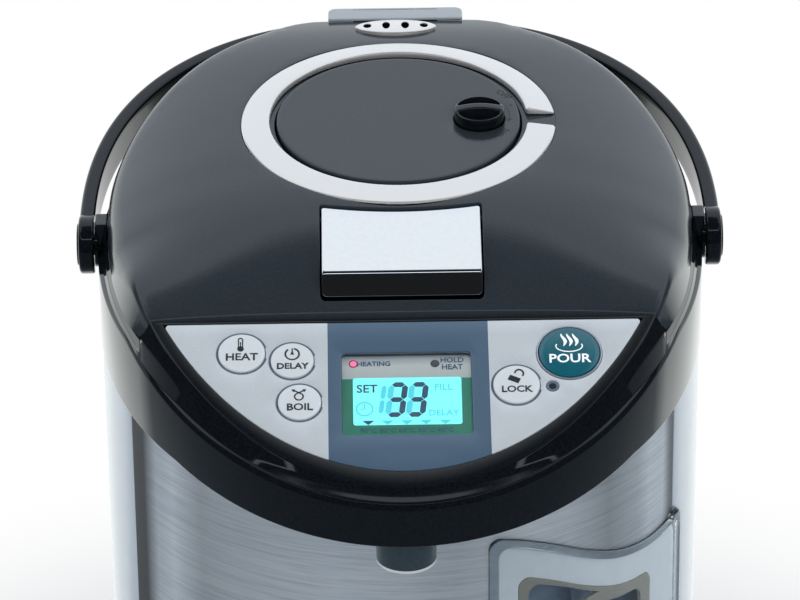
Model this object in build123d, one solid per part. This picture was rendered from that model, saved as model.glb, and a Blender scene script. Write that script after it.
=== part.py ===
"""Electric thermo pot with a manual pump lid.

Millimetres. The origin is on the pot's axis at table level, +Z up, and the spout faces -Y.
Heights that end in _h count from the collar's lower edge, which is collar_z above the table.
Angles of the body count from the front, and are positive towards +X.
"""
from build123d import *
import os
from math import asin, atan, cos, degrees, hypot, pi, radians, sin, tan

os.makedirs("parts", exist_ok=True)

# ---- clearances ----
gap = 0.3               # between pieces that only lie next to each other
seat = 0.05             # between a piece and the seat that locates it
running = 0.06          # radial, in pins and bearings
button_gap = 0.35       # around each button cap

# ---- body ----
body_r = 107.2
steel_wall = 0.8
cover_wall = 2.5
seam_angle = 63.3
collar_z = 262.0
base_ring_h = 36.0
base_ring_wall = 3.0
base_flare = 1.6        # base ring's step out from the shells
base_lap = 3.0          # depth of the groove that holds the shells
base_lip = 1.4          # wall inside that groove
base_plate_z = 4.0
base_plate_t = 3.0
foot_r = 9.0
foot_h = 4.0
foot_inset = 21.2       # feet's circle inside the body
screw_r = 3.2
screw_circle_r = 60.0
screw_grip = 5.0        # thread above the base plate
standoff_h = 6.0
power_board = (-62.0, -14.0, -22.0, 34.0)
board_posts = (2.5, 4.0)            # radius, inset from the board's edges
relay = (-52.0, -34.0, -12.0, 2.0, 16.0)
driver = (-54.0, -40.0, 14.0, 22.0, 12.0)
capacitor = (6.0, 18.0, -26.0, 20.0)

# ---- inner pot and what hangs on it ----
pot_inset = 21.2        # inner pot inside the body
pot_wall = 1.0
pot_corner_r = 14.0
pot_flange_w = 5.0
mouth_step = 22.0       # from the pot's wall in to its mouth
insulation_t = 3.4
heater_r = 48.0
heater_t = 7.0
thermostat_r = 9.0
thermostat_t = 8.0
thermostat_y = 25.0

# ---- pump, riser and spout line ----
pump_angle = 40.0       # the riser stands behind the level window
pump_r = 20.0
pump_h = 14.0
pump_wall = 2.0
motor_r = 14.0
motor_h = 20.0
motor_wall = 1.5
shaft_r = 1.6
rotor_r = 10.5
rotor_end_gap = 2.0
impeller_r = 16.0
impeller_lift = 2.2     # its disc above the chamber's floor
disc_t = 1.5
vane_h = 3.2
vane_t = 1.4
vanes = 6
riser_inset = 10.2
riser_r = 4.5
riser_bore = 3.2
riser_cup = 2.0         # depth of the seat that holds the gauge tube
pump_reach = 0.62       # pump's place between the axis and the riser
suction_r = 5.0
suction_bore = 3.8
suction_lap = 5.0
suction_run = 21.65     # from the pump up to the inner pot
hose_wall = 1.2
nozzle_inset = 24.0     # nozzle's axis behind the beak's tip
nozzle_r = 10.35
nozzle_wall = 2.0
nozzle_low_h = -26.0
nozzle_flange_w = 2.5
spout_h = 8.0
spout_low_h = -20.0
valve_r = 6.5
valve_x = (14.0, 38.0)
valve_behind = 16.0     # valve behind the nozzle
nipple = 4.0

# ---- collar ----
collar_step = 0.3       # collar out from the body
beak_reach = 44.5       # beak beyond the collar's round part
collar_wall = 3.0
collar_rim_h = 29.0     # top edge beside the lid
rim_land = 9.0          # width of that edge's inward land
rim_t = 2.5
deck_h = 20.8
deck_t = 3.0
rear_rise_y = 10.0      # behind this the top edge climbs towards the hinge
rear_rise = 0.225
beak_drop_y = -103.9    # in front of this the lower edge falls
beak_drop = 0.145
ridge_slope = 0.2515    # fall of the beak's outer ridge towards the spout
ridge_y = -69.9
ridge_step = 0.4        # flat land outside the bevel
bevel_side = 3.3        # bevel's width beside the panel
bevel_front = 7.0       # and at the beak's tip
roof_t = 2.0            # beak's top wall under the fascia's edge
spigot_depth = 8.0
spigot_t = 1.6
underside_t = 2.0
ear_y = 9.0             # half width of the ear that carries each handle pivot
ear_depth = 4.5
ear_low_h = 18.0
ear_top_h = 39.0

# ---- control panel ----
panel_y = -80.0         # the panel plane starts here, in front of the lid
panel_h = 41.6
panel_slope = 24.3
panel_margin = 2.0
panel_side = 6.1        # panel's edge inside the collar's outline
panel_front = 13.2
fascia_t = 2.0
ledge = 2.0             # collar's ledge under the fascia's edge
rear_ledge = 0.8        # the same behind the buttons
board_depth = 7.0
board_t = 1.6
board_short = 9.0       # board ends this far behind the nozzle's axis
board_edge = 4.0
panel_shift = 0.9       # display and buttons to the right of the middle
window_w = 0.4339       # of the panel's half width
window_l = 0.6092       # of the panel's depth
window_s = 0.5775       # its centre, of that depth, down the slope
window_t = 1.5
module_w = 0.3945
module_l = 0.4049
module_s = 0.6514
button_top = 0.8
button_t = 3.1
button_stem_r = 2.5
button_stem = 1.2
button_travel = 1.0
switch_w = 6.0
buttons = {             # across and radius as shares of the half width, down the slope of the depth
    "temp_button": (-0.5513, 0.2676, 0.0789),
    "timer_button": (-0.3807, 0.3292, 0.0725),
    "reboil_button": (-0.3570, 0.6391, 0.0725),
    "unlock_button": (0.3659, 0.5317, 0.0785),
    "dispense_button": (0.5483, 0.3011, 0.1050),
}
led_r = 1.6
leds = [(-0.1746, 0.3609), (0.0966, 0.3680), (0.4872, 0.5458)]

# ---- lid ----
lid_side = 6.0          # lid inside the collar's outline
lid_tip = 4.0
lid_t = 2.5
lid_front_lean = 15.0   # degrees, so that the front wall clears the beak as the lid opens
crown = [(-90, 33.0), (-80, 41.6), (-68, 51.0), (-55, 58.5), (-40, 64.4), (-12, 68.6), (15, 70.8),
         (45, 72.3), (70, 72.6), (85, 71.6), (101.5, 68.8), (112, 66.4)]
side_drop = 30.0
nose_drop = 5.0
drop_margin = 10.5
drop_power = 3.5
under_h = 26.0
under_t = 2.0
under_side = 5.5
under_front_y = -73.0
plug_gap = 4.0
plug_depth = 9.0
boss_r = 4.0
bosses = [(72.0, 42.0), (-72.0, 42.0), (66.0, -46.0), (-66.0, -46.0)]
gasket_step = 6.5
gasket_w = 5.5

# ---- trim ring, press plate and lock knob on the lid ----
ring_y = 15.0
ring_h = 70.8
ring_tilt = 4.2
ring_out = 55.9
ring_in = 45.7
ring_t = 2.4
ring_fall = 1.9         # its face slopes down outwards by this much
ring_seat = 0.2         # around it in the lid
ring_gap = 8.0
well_depth = 24.0
well_wall = 1.6
well_r = 44.0
plate_r = 43.4
plate_t = 3.0
plate_skirt = 6.0
plate_low = 1.0         # plate's face below the ring's plane
knob_x = 28.8
knob_y = -0.8           # from the plate's centre
knob_r = 8.9
knob_t = 2.6
knob_seat = 2.0
knob_stem_r = 4.0
grip_w = 3.4
grip_h = 5.5
bellows_r = 21.0
bellows_fold = 3.0
bellows_wall = 1.0
bellows_folds = 5
bellows_low = 39.0      # its foot below the ring's plane
base_disc_t = 1.6
base_disc_w = 6.0
spring_r = 13.0
spring_wire = 1.0
spring_turns = 5

# ---- steam vent plate ----
vent_inset = 14.5
vent_w = 29.9
vent_l = 15.5
vent_t = 1.2
vent_holes = [(-10.5, 1.25, 1.25), (-3.6, 1.3, 1.9), (3.6, 1.3, 1.9), (10.5, 1.25, 1.25)]

# ---- release lever and latch ----
lever_w = 55.0
lever_back_y = -40.9
lever_front_y = -70.6
lever_front_h = 54.0
lever_slope = 19.0
lever_t = 2.0
lever_lip = 8.6
lever_lip_lean = 26.0
lever_gap = 0.6
lever_arc_gap = 2.8     # between its rear edge and the trim ring
lever_back_gap = 0.9    # of that, open behind the lever
lever_pin_r = 1.2
lever_pin_y = -44.0
lever_pin_drop = 3.4
lever_lug_x = 20.0
lever_lug_w = 3.0
bolt_w = 18.0
bolt_t = 4.0
bolt_len = 14.0
bolt_h = 33.0
bolt_nose_y = -79.2
bolt_run = 6.0          # guide behind the bolt
keeper_w = 30.0
keeper_h = 12.0
keeper_t = 1.0

# ---- lid hinge ----
hinge_inset = 5.0       # hinge axis inside the collar's outline
hinge_h = 66.0
hinge_pin_r = 1.5
hinge_barrel_r = 3.5
hinge_w = 49.6
knuckle_w = 31.4
hinge_top_h = 71.2
hinge_plate_t = 1.1
hinge_ahead = 6.5       # bracket in front of the axis
hinge_behind = 2.4
housing_ahead = 0.5
housing_low_h = 45.0

# ---- handle ----
handle_reach_more = 6.7 # reach beyond the half width at the pivots
handle_t = 5.5
handle_band = 14.0
handle_end_r = 10.5
handle_grip_w = 56.0    # grip in the middle of the bail
handle_power = 2.4
handle_rest = 12.5
handle_h = 29.0
handle_clear = 1.3      # handle's inner face out from the collar
pivot_r = 4.0
pivot_boss_r = 8.0
cap_r = 7.5
cap_t = 0.7

# ---- level window and mains inlet ----
level_from = 15.4
level_to = 68.0
level_low_h = -175.0
level_crest = [(-33.0, 0.0), (-36.0, 0.12), (-41.6, 0.26), (-48.4, 0.40), (-54.0, 0.54), (-56.8, 0.70),
               (-56.2, 0.86), (-54.6, 1.0)]     # top edge's heights and shares of the width
backplate_top_h = -38.0
level_t = 1.8
level_frame = 4.0       # width of the rim that lies on the shell
level_corner = 7.0
backplate_t = 1.2
backplate_trim = 4.0    # degrees it stops short of the window's far edge
inlet_w = 34.0
inlet_hgt = 20.0
inlet_drop = 14.0       # inlet's centre below the base ring's top
inlet_depth = 17.0
recess_w = 28.0
recess_h = 14.0
recess_depth = 14.0
pin_r = 2.0
pin_len = 8.0
pin_pitch = 12.0

# ---- sizes that follow from these ----
BIG = 400.0
collar_r = body_r + collar_step
beak_len = collar_r + beak_reach
pot_r = body_r - pot_inset
mouth_r = pot_r - mouth_step
foot_circle_r = body_r - foot_inset
riser_circle_r = body_r - riser_inset
inlet_face_y = body_r
inlet_z = base_ring_h - inlet_drop
bevel_r = collar_r - bevel_side
bevel_len = beak_len - bevel_front
panel_r = collar_r - panel_side
panel_len = beak_len - panel_front
panel_depth = panel_len + panel_y - panel_margin
lid_r = collar_r - lid_side
lid_len = beak_len - lid_tip
lid_front_y = panel_y
drop_width = lid_r + drop_margin
under_r = lid_r - under_side
plug_r = mouth_r - plug_gap
gasket_r = mouth_r + gasket_step
vent_y = lid_r - vent_inset
hinge_y = collar_r - hinge_inset
hinge_front_y = hinge_y - hinge_ahead
hinge_back_y = hinge_y + hinge_behind
housing_y = hinge_y - housing_ahead
ear_x = collar_r - ear_depth
handle_inner = collar_r + handle_clear
handle_r = handle_inner + handle_t
handle_reach = handle_r + handle_reach_more
nozzle_y = nozzle_inset - beak_len
valve_y = nozzle_y + valve_behind
board_front_y = nozzle_y + board_short


def cyl(r, z0, z1, x=0.0, y=0.0):
    """Upright cylinder between two heights."""
    return Pos(x, y, (z0 + z1) / 2) * Cylinder(r, z1 - z0)


def tube(r_out, r_in, z0, z1, x=0.0, y=0.0):
    """Upright tube between two heights."""
    return cyl(r_out, z0, z1, x, y) - cyl(r_in, z0 - 1, z1 + 1, x, y)


def block(x0, x1, y0, y1, z0, z1):
    """Box between two corners."""
    return Pos((x0 + x1) / 2, (y0 + y1) / 2, (z0 + z1) / 2) * Box(x1 - x0, y1 - y0, z1 - z0)


def rod(r, x0, x1, y, z):
    """Cylinder that lies along X."""
    return Pos((x0 + x1) / 2, y, z) * Rot(0, 90, 0) * Cylinder(r, x1 - x0)


def under_plane(y, z, slope):
    """Everything below a plane that passes through (y, z) and climbs towards +Y by slope."""
    return Pos(0, y, z) * Rot(degrees(atan(slope)), 0, 0) * Pos(0, 0, -BIG / 2) * Box(2 * BIG, 2 * BIG, BIG)


def egg(r, length, z0, z1):
    """Prism with a round rear of radius r and an elliptical front that reaches length."""
    rear = [(r * cos(radians(a)), r * sin(radians(a))) for a in (0, 90, 180)]
    front = [(r * cos(radians(a)), length * sin(radians(a))) for a in range(180, 361, 15)]
    edge = Wire([ThreePointArc(*rear), Spline(front, tangents=[(0, -1), (0, 1)])])
    return Pos(0, 0, z0) * extrude(make_face(edge), z1 - z0)


def sector(r_out, r_in, z0, z1, a0, a1):
    """Curved wall between two angles from the front."""
    reach = 3 * r_out
    steps = 6
    turn = [radians(a0 + (a1 - a0) * i / steps) for i in range(steps + 1)]
    fan = Polyline([(0, 0)] + [(reach * sin(a), -reach * cos(a)) for a in turn] + [(0, 0)])
    return tube(r_out, r_in, z0, z1) & (Pos(0, 0, z0) * extrude(make_face(fan), z1 - z0))


def crown_h(y):
    """Lid's height on its centre line: cubic Hermite curve through the crown points."""
    spans = list(zip(crown, crown[1:]))
    rates = [(b[1] - a[1]) / (b[0] - a[0]) for a, b in spans]
    slopes = [rates[0]] + [(p + q) / 2 for p, q in zip(rates, rates[1:])] + [rates[-1]]
    i = max(k for k in range(len(spans)) if k == 0 or crown[k][0] <= y)
    (y0, h0), (y1, h1) = spans[i]
    w = y1 - y0
    t = (y - y0) / w
    return ((2 * t**3 - 3 * t**2 + 1) * h0 + (t**3 - 2 * t**2 + t) * w * slopes[i]
            + (3 * t**2 - 2 * t**3) * h1 + (t**3 - t**2) * w * slopes[i + 1])


def lid_h(x, y):
    """Lid's height field: the crown less a drop that grows towards the sides."""
    t = min(max((-35 - y) / 45, 0), 1)
    t = t * t * (3 - 2 * t)
    return crown_h(y) - (side_drop * (1 - t) + nose_drop * t) * abs(x / drop_width) ** drop_power


def under_lid(offset):
    """Everything below the lid's height field lowered by offset."""
    front = lid_front_y - 6
    ys = [front + (lid_r - 0.5 - front) * i / 17 for i in range(18)]
    xs = [drop_width * (i / 8 - 1) for i in range(17)]
    grid = [[Vector(x, y, collar_z + lid_h(x, y) - offset) for x in xs] for y in ys]
    return extrude(Face.make_surface_from_array_of_points(grid), amount=90, dir=(0, 0, -1))


parts = {}

# ---- frames that several pieces share ----
collar_top = collar_z + collar_rim_h
deck_top = collar_z + deck_h
panel_frame = Location((0, panel_y, collar_z + panel_h), (panel_slope, 0, 0))
ring_frame = Location((0, ring_y, collar_z + ring_h), (ring_tilt, 0, 0))
panel_grade = tan(radians(panel_slope))
pot_top = deck_top - deck_t - seat
motor_low = base_plate_z + base_plate_t + seat
motor_top = motor_low + motor_h
pump_low = motor_top + seat
pump_top = pump_low + pump_h
pot_low = pump_top + suction_run + pot_wall
pot_out = pot_r + pot_wall
riser_x = riser_circle_r * sin(radians(pump_angle))
riser_y = -riser_circle_r * cos(radians(pump_angle))

# ---- base ----
base_out = body_r + base_flare
shell_low = base_ring_h - base_lap
base_ring = tube(base_out, base_out - base_ring_wall, foot_h, base_ring_h)
groove_r = body_r - cover_wall - gap
base_ring += tube(base_out - 1, groove_r - base_lip, shell_low - base_lip, base_ring_h)
base_ring -= tube(body_r + seat, groove_r, shell_low, base_ring_h + 1)
base_ring -= block(-inlet_w / 2 - seat, inlet_w / 2 + seat, inlet_face_y - inlet_depth, base_out + 5,
                   inlet_z - inlet_hgt / 2 - seat, inlet_z + inlet_hgt / 2 + seat)
plate_r_out = base_out - base_ring_wall - seat
base_plate = cyl(plate_r_out, base_plate_z, base_plate_z + base_plate_t)
screw_spots = [(screw_circle_r * cos(radians(a)), screw_circle_r * sin(radians(a))) for a in (0, 90, 180, 270)]
foot_spots = [(foot_circle_r * cos(radians(a)), foot_circle_r * sin(radians(a))) for a in (45, 135, 225, 315)]
screws = Part()
feet = Part()
for x, y in screw_spots:
    base_plate -= cyl(screw_r / 2 + gap, 0, 20, x, y)
    base_plate -= cyl(screw_r + gap, 0, base_plate_z + base_plate_t / 2, x, y)
    screws += cyl(screw_r, base_plate_z + 0.2, base_plate_z + base_plate_t / 2 - seat, x, y)
    screws += cyl(screw_r / 2, base_plate_z + 0.2, base_plate_z + base_plate_t + screw_grip, x, y)
for x, y in foot_spots:
    feet += cyl(foot_r, 0, foot_h, x, y)
parts["base_ring"] = base_ring
parts["base_plate"] = base_plate
parts["rubber_feet"] = feet
parts["base_screws"] = screws

# ---- outer shells ----
front = sector(body_r, body_r - steel_wall, shell_low + seat, collar_z - seat, -seam_angle + 0.1, seam_angle - 0.1)
rear = sector(body_r, body_r - cover_wall, shell_low + seat, collar_z - seat, seam_angle + 0.1, 360 - seam_angle - 0.1)


def level_slab(r_out, r_in, inset):
    """Curved slab of the level window's outline, with rounded corners, smaller by inset."""
    mid = (level_from + level_to) / 2
    half = body_r * sin(radians(level_to - mid)) - inset
    crest = [(half * (2 * share - 1), collar_z + height - inset) for height, share in level_crest]
    low = collar_z + level_low_h + inset
    lower = [crest[-1], (half, low), (-half, low), crest[0]]
    outline = make_face(Wire([Spline(crest)] + [Line(p, q) for p, q in zip(lower, lower[1:])]))
    outline = fillet(outline.vertices(), level_corner - inset / 2)
    turn = radians(mid)
    face_on = Pos(body_r * sin(turn), -body_r * cos(turn), 0) * Rot(0, 0, mid) * Rot(90, 0, 0)
    return tube(r_out, r_in, low - 20, collar_z) & (face_on * extrude(outline, 30, both=True))


front -= level_slab(body_r + 5, body_r - 8, level_frame)
rear -= level_slab(body_r + 5, body_r - 8, level_frame)
parts["outer_shell_front"] = front
parts["outer_shell_rear"] = rear
parts["level_window"] = level_slab(body_r + level_t, body_r + seat, 0)
back_r = riser_circle_r - riser_r - gap
backplate = sector(back_r, back_r - backplate_t, collar_z + level_low_h, collar_z + backplate_top_h,
                   level_from, level_to - backplate_trim)
parts["gauge_backplate"] = backplate

# ---- inner pot ----
pot = cyl(pot_out, pot_low - pot_wall, pot_top)
pot = fillet(pot.edges().filter_by(GeomType.CIRCLE).sort_by(Axis.Z)[0], pot_corner_r)
cavity = cyl(pot_r, pot_low, pot_top + 1)
cavity = fillet(cavity.edges().filter_by(GeomType.CIRCLE).sort_by(Axis.Z)[0], pot_corner_r - pot_wall)
pot += tube(pot_out + pot_flange_w, pot_r, pot_top - pot_wall, pot_top)
pump_x = pump_reach * riser_x
pump_y = pump_reach * riser_y
pot_under = pot_low - pot_wall
pot += cyl(suction_r - seat, pot_under - suction_lap, pot_low, pump_x, pump_y)
pot -= cavity
parts["inner_pot"] = pot - cyl(suction_bore, pot_under - suction_lap - 1, pot_low + 1, pump_x, pump_y)
wrap_low = pot_low + pot_corner_r
wrap = tube(pot_out + gap + insulation_t, pot_out + gap, wrap_low, pot_top - pot_wall - gap)
parts["insulation"] = wrap
heater_top = pot_low - pot_wall - seat
heater = cyl(heater_r, heater_top - heater_t, heater_top)
parts["heater"] = heater
heater_low = heater_top - heater_t - seat
parts["thermostat"] = cyl(thermostat_r, heater_low - thermostat_t, heater_low, 0, thermostat_y)

# ---- pump, motor and riser ----
motor = tube(motor_r, motor_r - motor_wall, motor_low, motor_top, pump_x, pump_y)
motor += cyl(motor_r, motor_low, motor_low + motor_wall, pump_x, pump_y)
motor += tube(motor_r, shaft_r + running, motor_top - motor_wall, motor_top, pump_x, pump_y)
parts["motor"] = motor
rotor_low = motor_low + motor_wall
disc_z = pump_low + pump_wall + impeller_lift
rotor = cyl(shaft_r, rotor_low + gap, disc_z - gap, pump_x, pump_y)
parts["motor_rotor"] = rotor + cyl(
    rotor_r, rotor_low + rotor_end_gap, motor_top - motor_wall - rotor_end_gap, pump_x, pump_y)
housing = cyl(pump_r, pump_low, pump_top, pump_x, pump_y)
outlet_z = pump_low + pump_h / 2
reach = hypot(riser_x - pump_x, riser_y - pump_y)
outlet = Pos(pump_x, pump_y, outlet_z) * Rot(0, 0, pump_angle - 90) * Rot(0, 90, 0) * Pos(0, 0, reach / 2)
housing += outlet * Cylinder(riser_r, reach)
cup_top = outlet_z + riser_r + 1 + riser_cup
housing += cyl(riser_r + hose_wall, outlet_z - riser_r, cup_top, riser_x, riser_y)
housing += cyl(suction_r - seat, pump_top, pump_top + suction_lap, pump_x, pump_y)
housing -= outlet * Cylinder(riser_bore, reach)
housing -= cyl(riser_bore, outlet_z, cup_top + 1, riser_x, riser_y)
housing -= cyl(riser_r + seat, cup_top - riser_cup, cup_top + 1, riser_x, riser_y)
housing -= cyl(pump_r - pump_wall, pump_low + pump_wall, pump_top - pump_wall, pump_x, pump_y)
housing -= cyl(shaft_r + running, pump_low - 1, pump_top - pump_wall, pump_x, pump_y)
housing -= cyl(suction_bore, pump_top - pump_wall - 1, pump_top + suction_lap + 1, pump_x, pump_y)
parts["pump_housing"] = housing
impeller = cyl(impeller_r, disc_z, disc_z + disc_t, pump_x, pump_y)
for i in range(vanes):
    spot = Pos(pump_x, pump_y, disc_z + disc_t + vane_h / 2 - seat) * Rot(0, 0, 360 / vanes * i)
    impeller += spot * Pos(impeller_r / 2 + 1, 0, 0) * Box(impeller_r - 4, vane_t, vane_h)
parts["impeller"] = impeller
parts["suction_pipe"] = tube(suction_r + hose_wall, suction_r, pump_top + gap, pot_under - gap, pump_x, pump_y)
gauge_low = cup_top - riser_cup + seat
gauge_top = collar_z - spigot_depth
parts["gauge_tube"] = tube(riser_r, riser_bore, gauge_low, gauge_top, riser_x, riser_y)

# ---- power board and mains inlet ----
bx0, bx1, by0, by1 = power_board
board_z = base_plate_z + base_plate_t + standoff_h
board = block(bx0, bx1, by0, by1, board_z, board_z + board_t)
post_r, post_in = board_posts
for x in (bx0 + post_in, bx1 - post_in):
    for y in (by0 + post_in, by1 - post_in):
        board += cyl(post_r, board_z - standoff_h + seat, board_z, x, y)
for x0, x1, y0, y1, tall in (relay, driver):
    board += block(x0, x1, y0, y1, board_z, board_z + tall)
can_r, can_h, can_x, can_y = capacitor
board += cyl(can_r, board_z, board_z + can_h, can_x, can_y)
parts["power_board"] = board
inlet_back = inlet_face_y - inlet_depth
socket = block(-inlet_w / 2, inlet_w / 2, inlet_back, inlet_face_y, inlet_z - inlet_hgt / 2, inlet_z + inlet_hgt / 2)
recess_back = inlet_face_y - recess_depth
socket -= block(-recess_w / 2, recess_w / 2, recess_back, inlet_face_y + 1,
                inlet_z - recess_h / 2, inlet_z + recess_h / 2)
pins = Part()
for x in (-pin_pitch / 2, pin_pitch / 2):
    barrel = Pos(x, recess_back + (pin_len - 2) / 2, inlet_z) * Rot(90, 0, 0)
    pins += barrel * Cylinder(pin_r, pin_len + 2)
    socket -= barrel * Cylinder(pin_r + seat, pin_len + 2 + 2 * seat)
parts["inlet_socket"] = socket
parts["inlet_pins"] = pins

# ---- collar with the beak ----
reach_up = collar_z + 90
envelope = egg(collar_r, beak_len, collar_z - 20, reach_up)


def under_rim(offset):
    """Everything below the collar's top edge, lowered by offset."""
    flat = block(-BIG, BIG, -BIG, BIG, -BIG, collar_top - offset)
    flat += under_plane(rear_rise_y, collar_top - offset, rear_rise)
    return flat & under_plane(ridge_y, collar_top - offset, ridge_slope)


def under_panel(offset):
    """Everything below the panel plane, lowered by offset square to it."""
    return under_plane(panel_y, collar_z + panel_h - offset / cos(radians(panel_slope)), panel_grade)


def above_beak(offset):
    """Everything that lies above the collar's lower edge, raised by offset."""
    low = block(-BIG, BIG, -BIG, BIG, -BIG, collar_z + offset)
    low &= under_plane(beak_drop_y, collar_z + offset, beak_drop)
    return block(-BIG, BIG, -BIG, BIG, collar_z - 30, reach_up) - low


def in_front(y):
    """Everything in front of a plane across the pot."""
    return block(-BIG, BIG, -BIG, y, 0, BIG + 100)


def arc_wire(r, length, height):
    """Closed wire: the egg's front arc from the beak's rear wall round the nose, at a height that varies with y."""
    start = asin(-(panel_y - 1) / length)
    turns = [start + (pi - 2 * start) * i / 14 for i in range(15)]
    pts = [(r * cos(a), -length * sin(a), height(-length * sin(a))) for a in turns]
    return Wire([Spline(pts), Line(pts[-1], pts[0])])


lower_ridge = arc_wire(collar_r - ridge_step, beak_len - ridge_step, lambda y: collar_top + (y - ridge_y) * ridge_slope)
upper_ridge = arc_wire(bevel_r, bevel_len, lambda y: collar_z + panel_h + (y - panel_y) * panel_grade)
bevel = Solid.make_loft([lower_ridge, upper_ridge], ruled=True)
collar = (envelope & under_rim(0) & above_beak(0)) + bevel
inner = egg(collar_r - collar_wall, beak_len - collar_wall, collar_z - 20, reach_up)
beak_back = panel_y - 1 - collar_wall
hollow = inner & under_panel(fascia_t + roof_t)
collar -= hollow & block(-BIG, BIG, -BIG, BIG, 0, deck_top - deck_t)
collar -= hollow & in_front(beak_back)
behind = block(-BIG, BIG, panel_y - 1, BIG, deck_top, reach_up)
collar -= egg(collar_r - rim_land, beak_len - rim_land, deck_top, reach_up) & behind
collar -= inner & behind & under_rim(rim_t)
collar -= cyl(mouth_r, 0, reach_up)
collar -= egg(panel_r, panel_len, 0, reach_up) & in_front(panel_y - panel_margin) - under_panel(fascia_t)
opening = egg(panel_r - ledge, panel_len - ledge, 0, reach_up) & in_front(panel_y - panel_margin - rear_ledge)
collar -= opening - under_panel(fascia_t + 3 * roof_t)
spigot_r = body_r - cover_wall - gap
collar += tube(spigot_r, spigot_r - spigot_t, collar_z - spigot_depth, collar_z + spigot_t)
collar += tube(collar_r - 1, spigot_r - spigot_t, collar_z, collar_z + spigot_t)
for side in (-1, 1):
    ear = block(min(side * ear_x, side * collar_r), max(side * ear_x, side * collar_r), -ear_y, ear_y,
                collar_z + ear_low_h, collar_z + ear_top_h)
    collar += ear & envelope
    bore = (side * (ear_x - 3), side * handle_r)
    collar -= rod(pivot_r + seat, min(bore), max(bore), 0, collar_z + handle_h)
hinge_z = collar_z + hinge_h
housing_top = hinge_z - hinge_barrel_r - gap
housing_back_y = hinge_back_y + 0.5
collar -= block(-hinge_w / 2 - seat, hinge_w / 2 + seat, housing_y - seat, housing_back_y + seat,
                collar_z + housing_low_h - seat, reach_up)
keeper_low = collar_z + bolt_h - keeper_h / 2
keeper_box = (-keeper_w / 2, keeper_w / 2, panel_y - 1 - keeper_t, panel_y - 1, keeper_low, keeper_low + keeper_h)
collar -= block(*keeper_box)
parts["collar"] = collar
parts["latch_keeper"] = block(keeper_box[0] + seat, keeper_box[1] - seat, keeper_box[2] + seat, keeper_box[3],
                              keeper_box[4] + seat, keeper_box[5] - seat)
underside = egg(collar_r - collar_wall - seat, beak_len - collar_wall - seat, collar_z - 20, collar_z + 20)
underside &= above_beak(seat)
underside -= above_beak(underside_t)
underside -= cyl(collar_r - 1 + seat, 0, reach_up) + cyl(body_r + seat, 0, collar_z)
underside -= cyl(nozzle_r + gap, 0, reach_up, 0, nozzle_y)
parts["beak_underside"] = underside

# ---- spout line in the beak ----
nozzle_low = collar_z + nozzle_low_h
plate_at_nozzle = collar_z + underside_t + (nozzle_y + nozzle_r - beak_drop_y) * beak_drop
nozzle_top = plate_at_nozzle + 2.0
nozzle = tube(nozzle_r, nozzle_r - nozzle_wall, nozzle_low, nozzle_top, 0, nozzle_y)
nozzle += tube(nozzle_r + nozzle_flange_w, nozzle_r - nozzle_wall, plate_at_nozzle + 0.5, nozzle_top, 0, nozzle_y)
parts["nozzle"] = nozzle
spout_z = collar_z + spout_h
valve = rod(valve_r, valve_x[0], valve_x[1], valve_y, spout_z)
valve += rod(riser_r, valve_x[0] - nipple, valve_x[1] + nipple, valve_y, spout_z)
valve -= rod(riser_bore, valve_x[0] - nipple - 1, valve_x[1] + nipple + 1, valve_y, spout_z)
parts["tip_valve"] = valve


def hose(points, r_out, r_in, bend):
    """Round pipe along straight runs joined by tangent arcs."""
    path = FilletPolyline(*points, radius=bend)
    start = Plane(origin=path @ 0, z_dir=path % 0)
    return sweep(start * Circle(r_out), path=path) - sweep(start * Circle(r_in), path=path)


valve_in = valve_x[1] + nipple + seat
valve_out = valve_x[0] - nipple - seat
parts["upper_hose"] = hose([(riser_x, riser_y, gauge_top + seat), (riser_x, riser_y, spout_z),
                            (riser_x, valve_y, spout_z), (valve_in, valve_y, spout_z)], riser_r, riser_bore, 9.0)
parts["spout_pipe"] = hose([(valve_out, valve_y, spout_z), (0, valve_y, spout_z), (0, nozzle_y, spout_z),
                            (0, nozzle_y, collar_z + spout_low_h)], riser_r, riser_bore, 7.0)

# ---- control panel ----
fascia = egg(panel_r - seat, panel_len - seat, collar_z - 10, reach_up) & in_front(panel_y - panel_margin - seat)
fascia &= under_panel(0)
fascia -= under_panel(fascia_t - seat)
window_frame = panel_frame * Pos(panel_shift, -window_s * panel_depth, 0)
wide = window_w * panel_r
long = window_l * panel_depth
fascia -= window_frame * Box(wide, long, 20)
parts["lcd_lens"] = window_frame * Pos(0, 0, -window_t / 2) * Box(wide - 2 * seat, long - 2 * seat, window_t)
module_top = -window_t - seat
module_low = -board_depth + seat
parts["lcd_module"] = panel_frame * Pos(panel_shift, -module_s * panel_depth, (module_top + module_low) / 2) * Box(
    module_w * panel_r, module_l * panel_depth, module_top - module_low)
control = egg(panel_r - board_edge, panel_len, collar_z - 10, reach_up)
control &= in_front(panel_y - panel_margin - board_edge) - in_front(board_front_y)
control &= under_panel(board_depth)
parts["control_board"] = control - under_panel(board_depth + board_t)
switches = Part()
stem_end = button_top - button_t - button_stem
switch_top = stem_end - button_travel - gap
switch_t = board_depth + switch_top - seat
for name, (across, down, size) in buttons.items():
    r = size * panel_r
    spot = panel_frame * Pos(across * panel_r + panel_shift, -down * panel_depth, 0)
    fascia -= spot * Cylinder(r + button_gap, 20)
    cap = spot * Pos(0, 0, button_top - button_t / 2) * Cylinder(r, button_t)
    parts[name] = cap + spot * Pos(0, 0, stem_end + button_stem / 2) * Cylinder(button_stem_r, button_stem + 0.2)
    switches += spot * Pos(0, 0, switch_top - switch_t / 2) * Box(switch_w, switch_w, switch_t)
lamps = Part()
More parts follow.
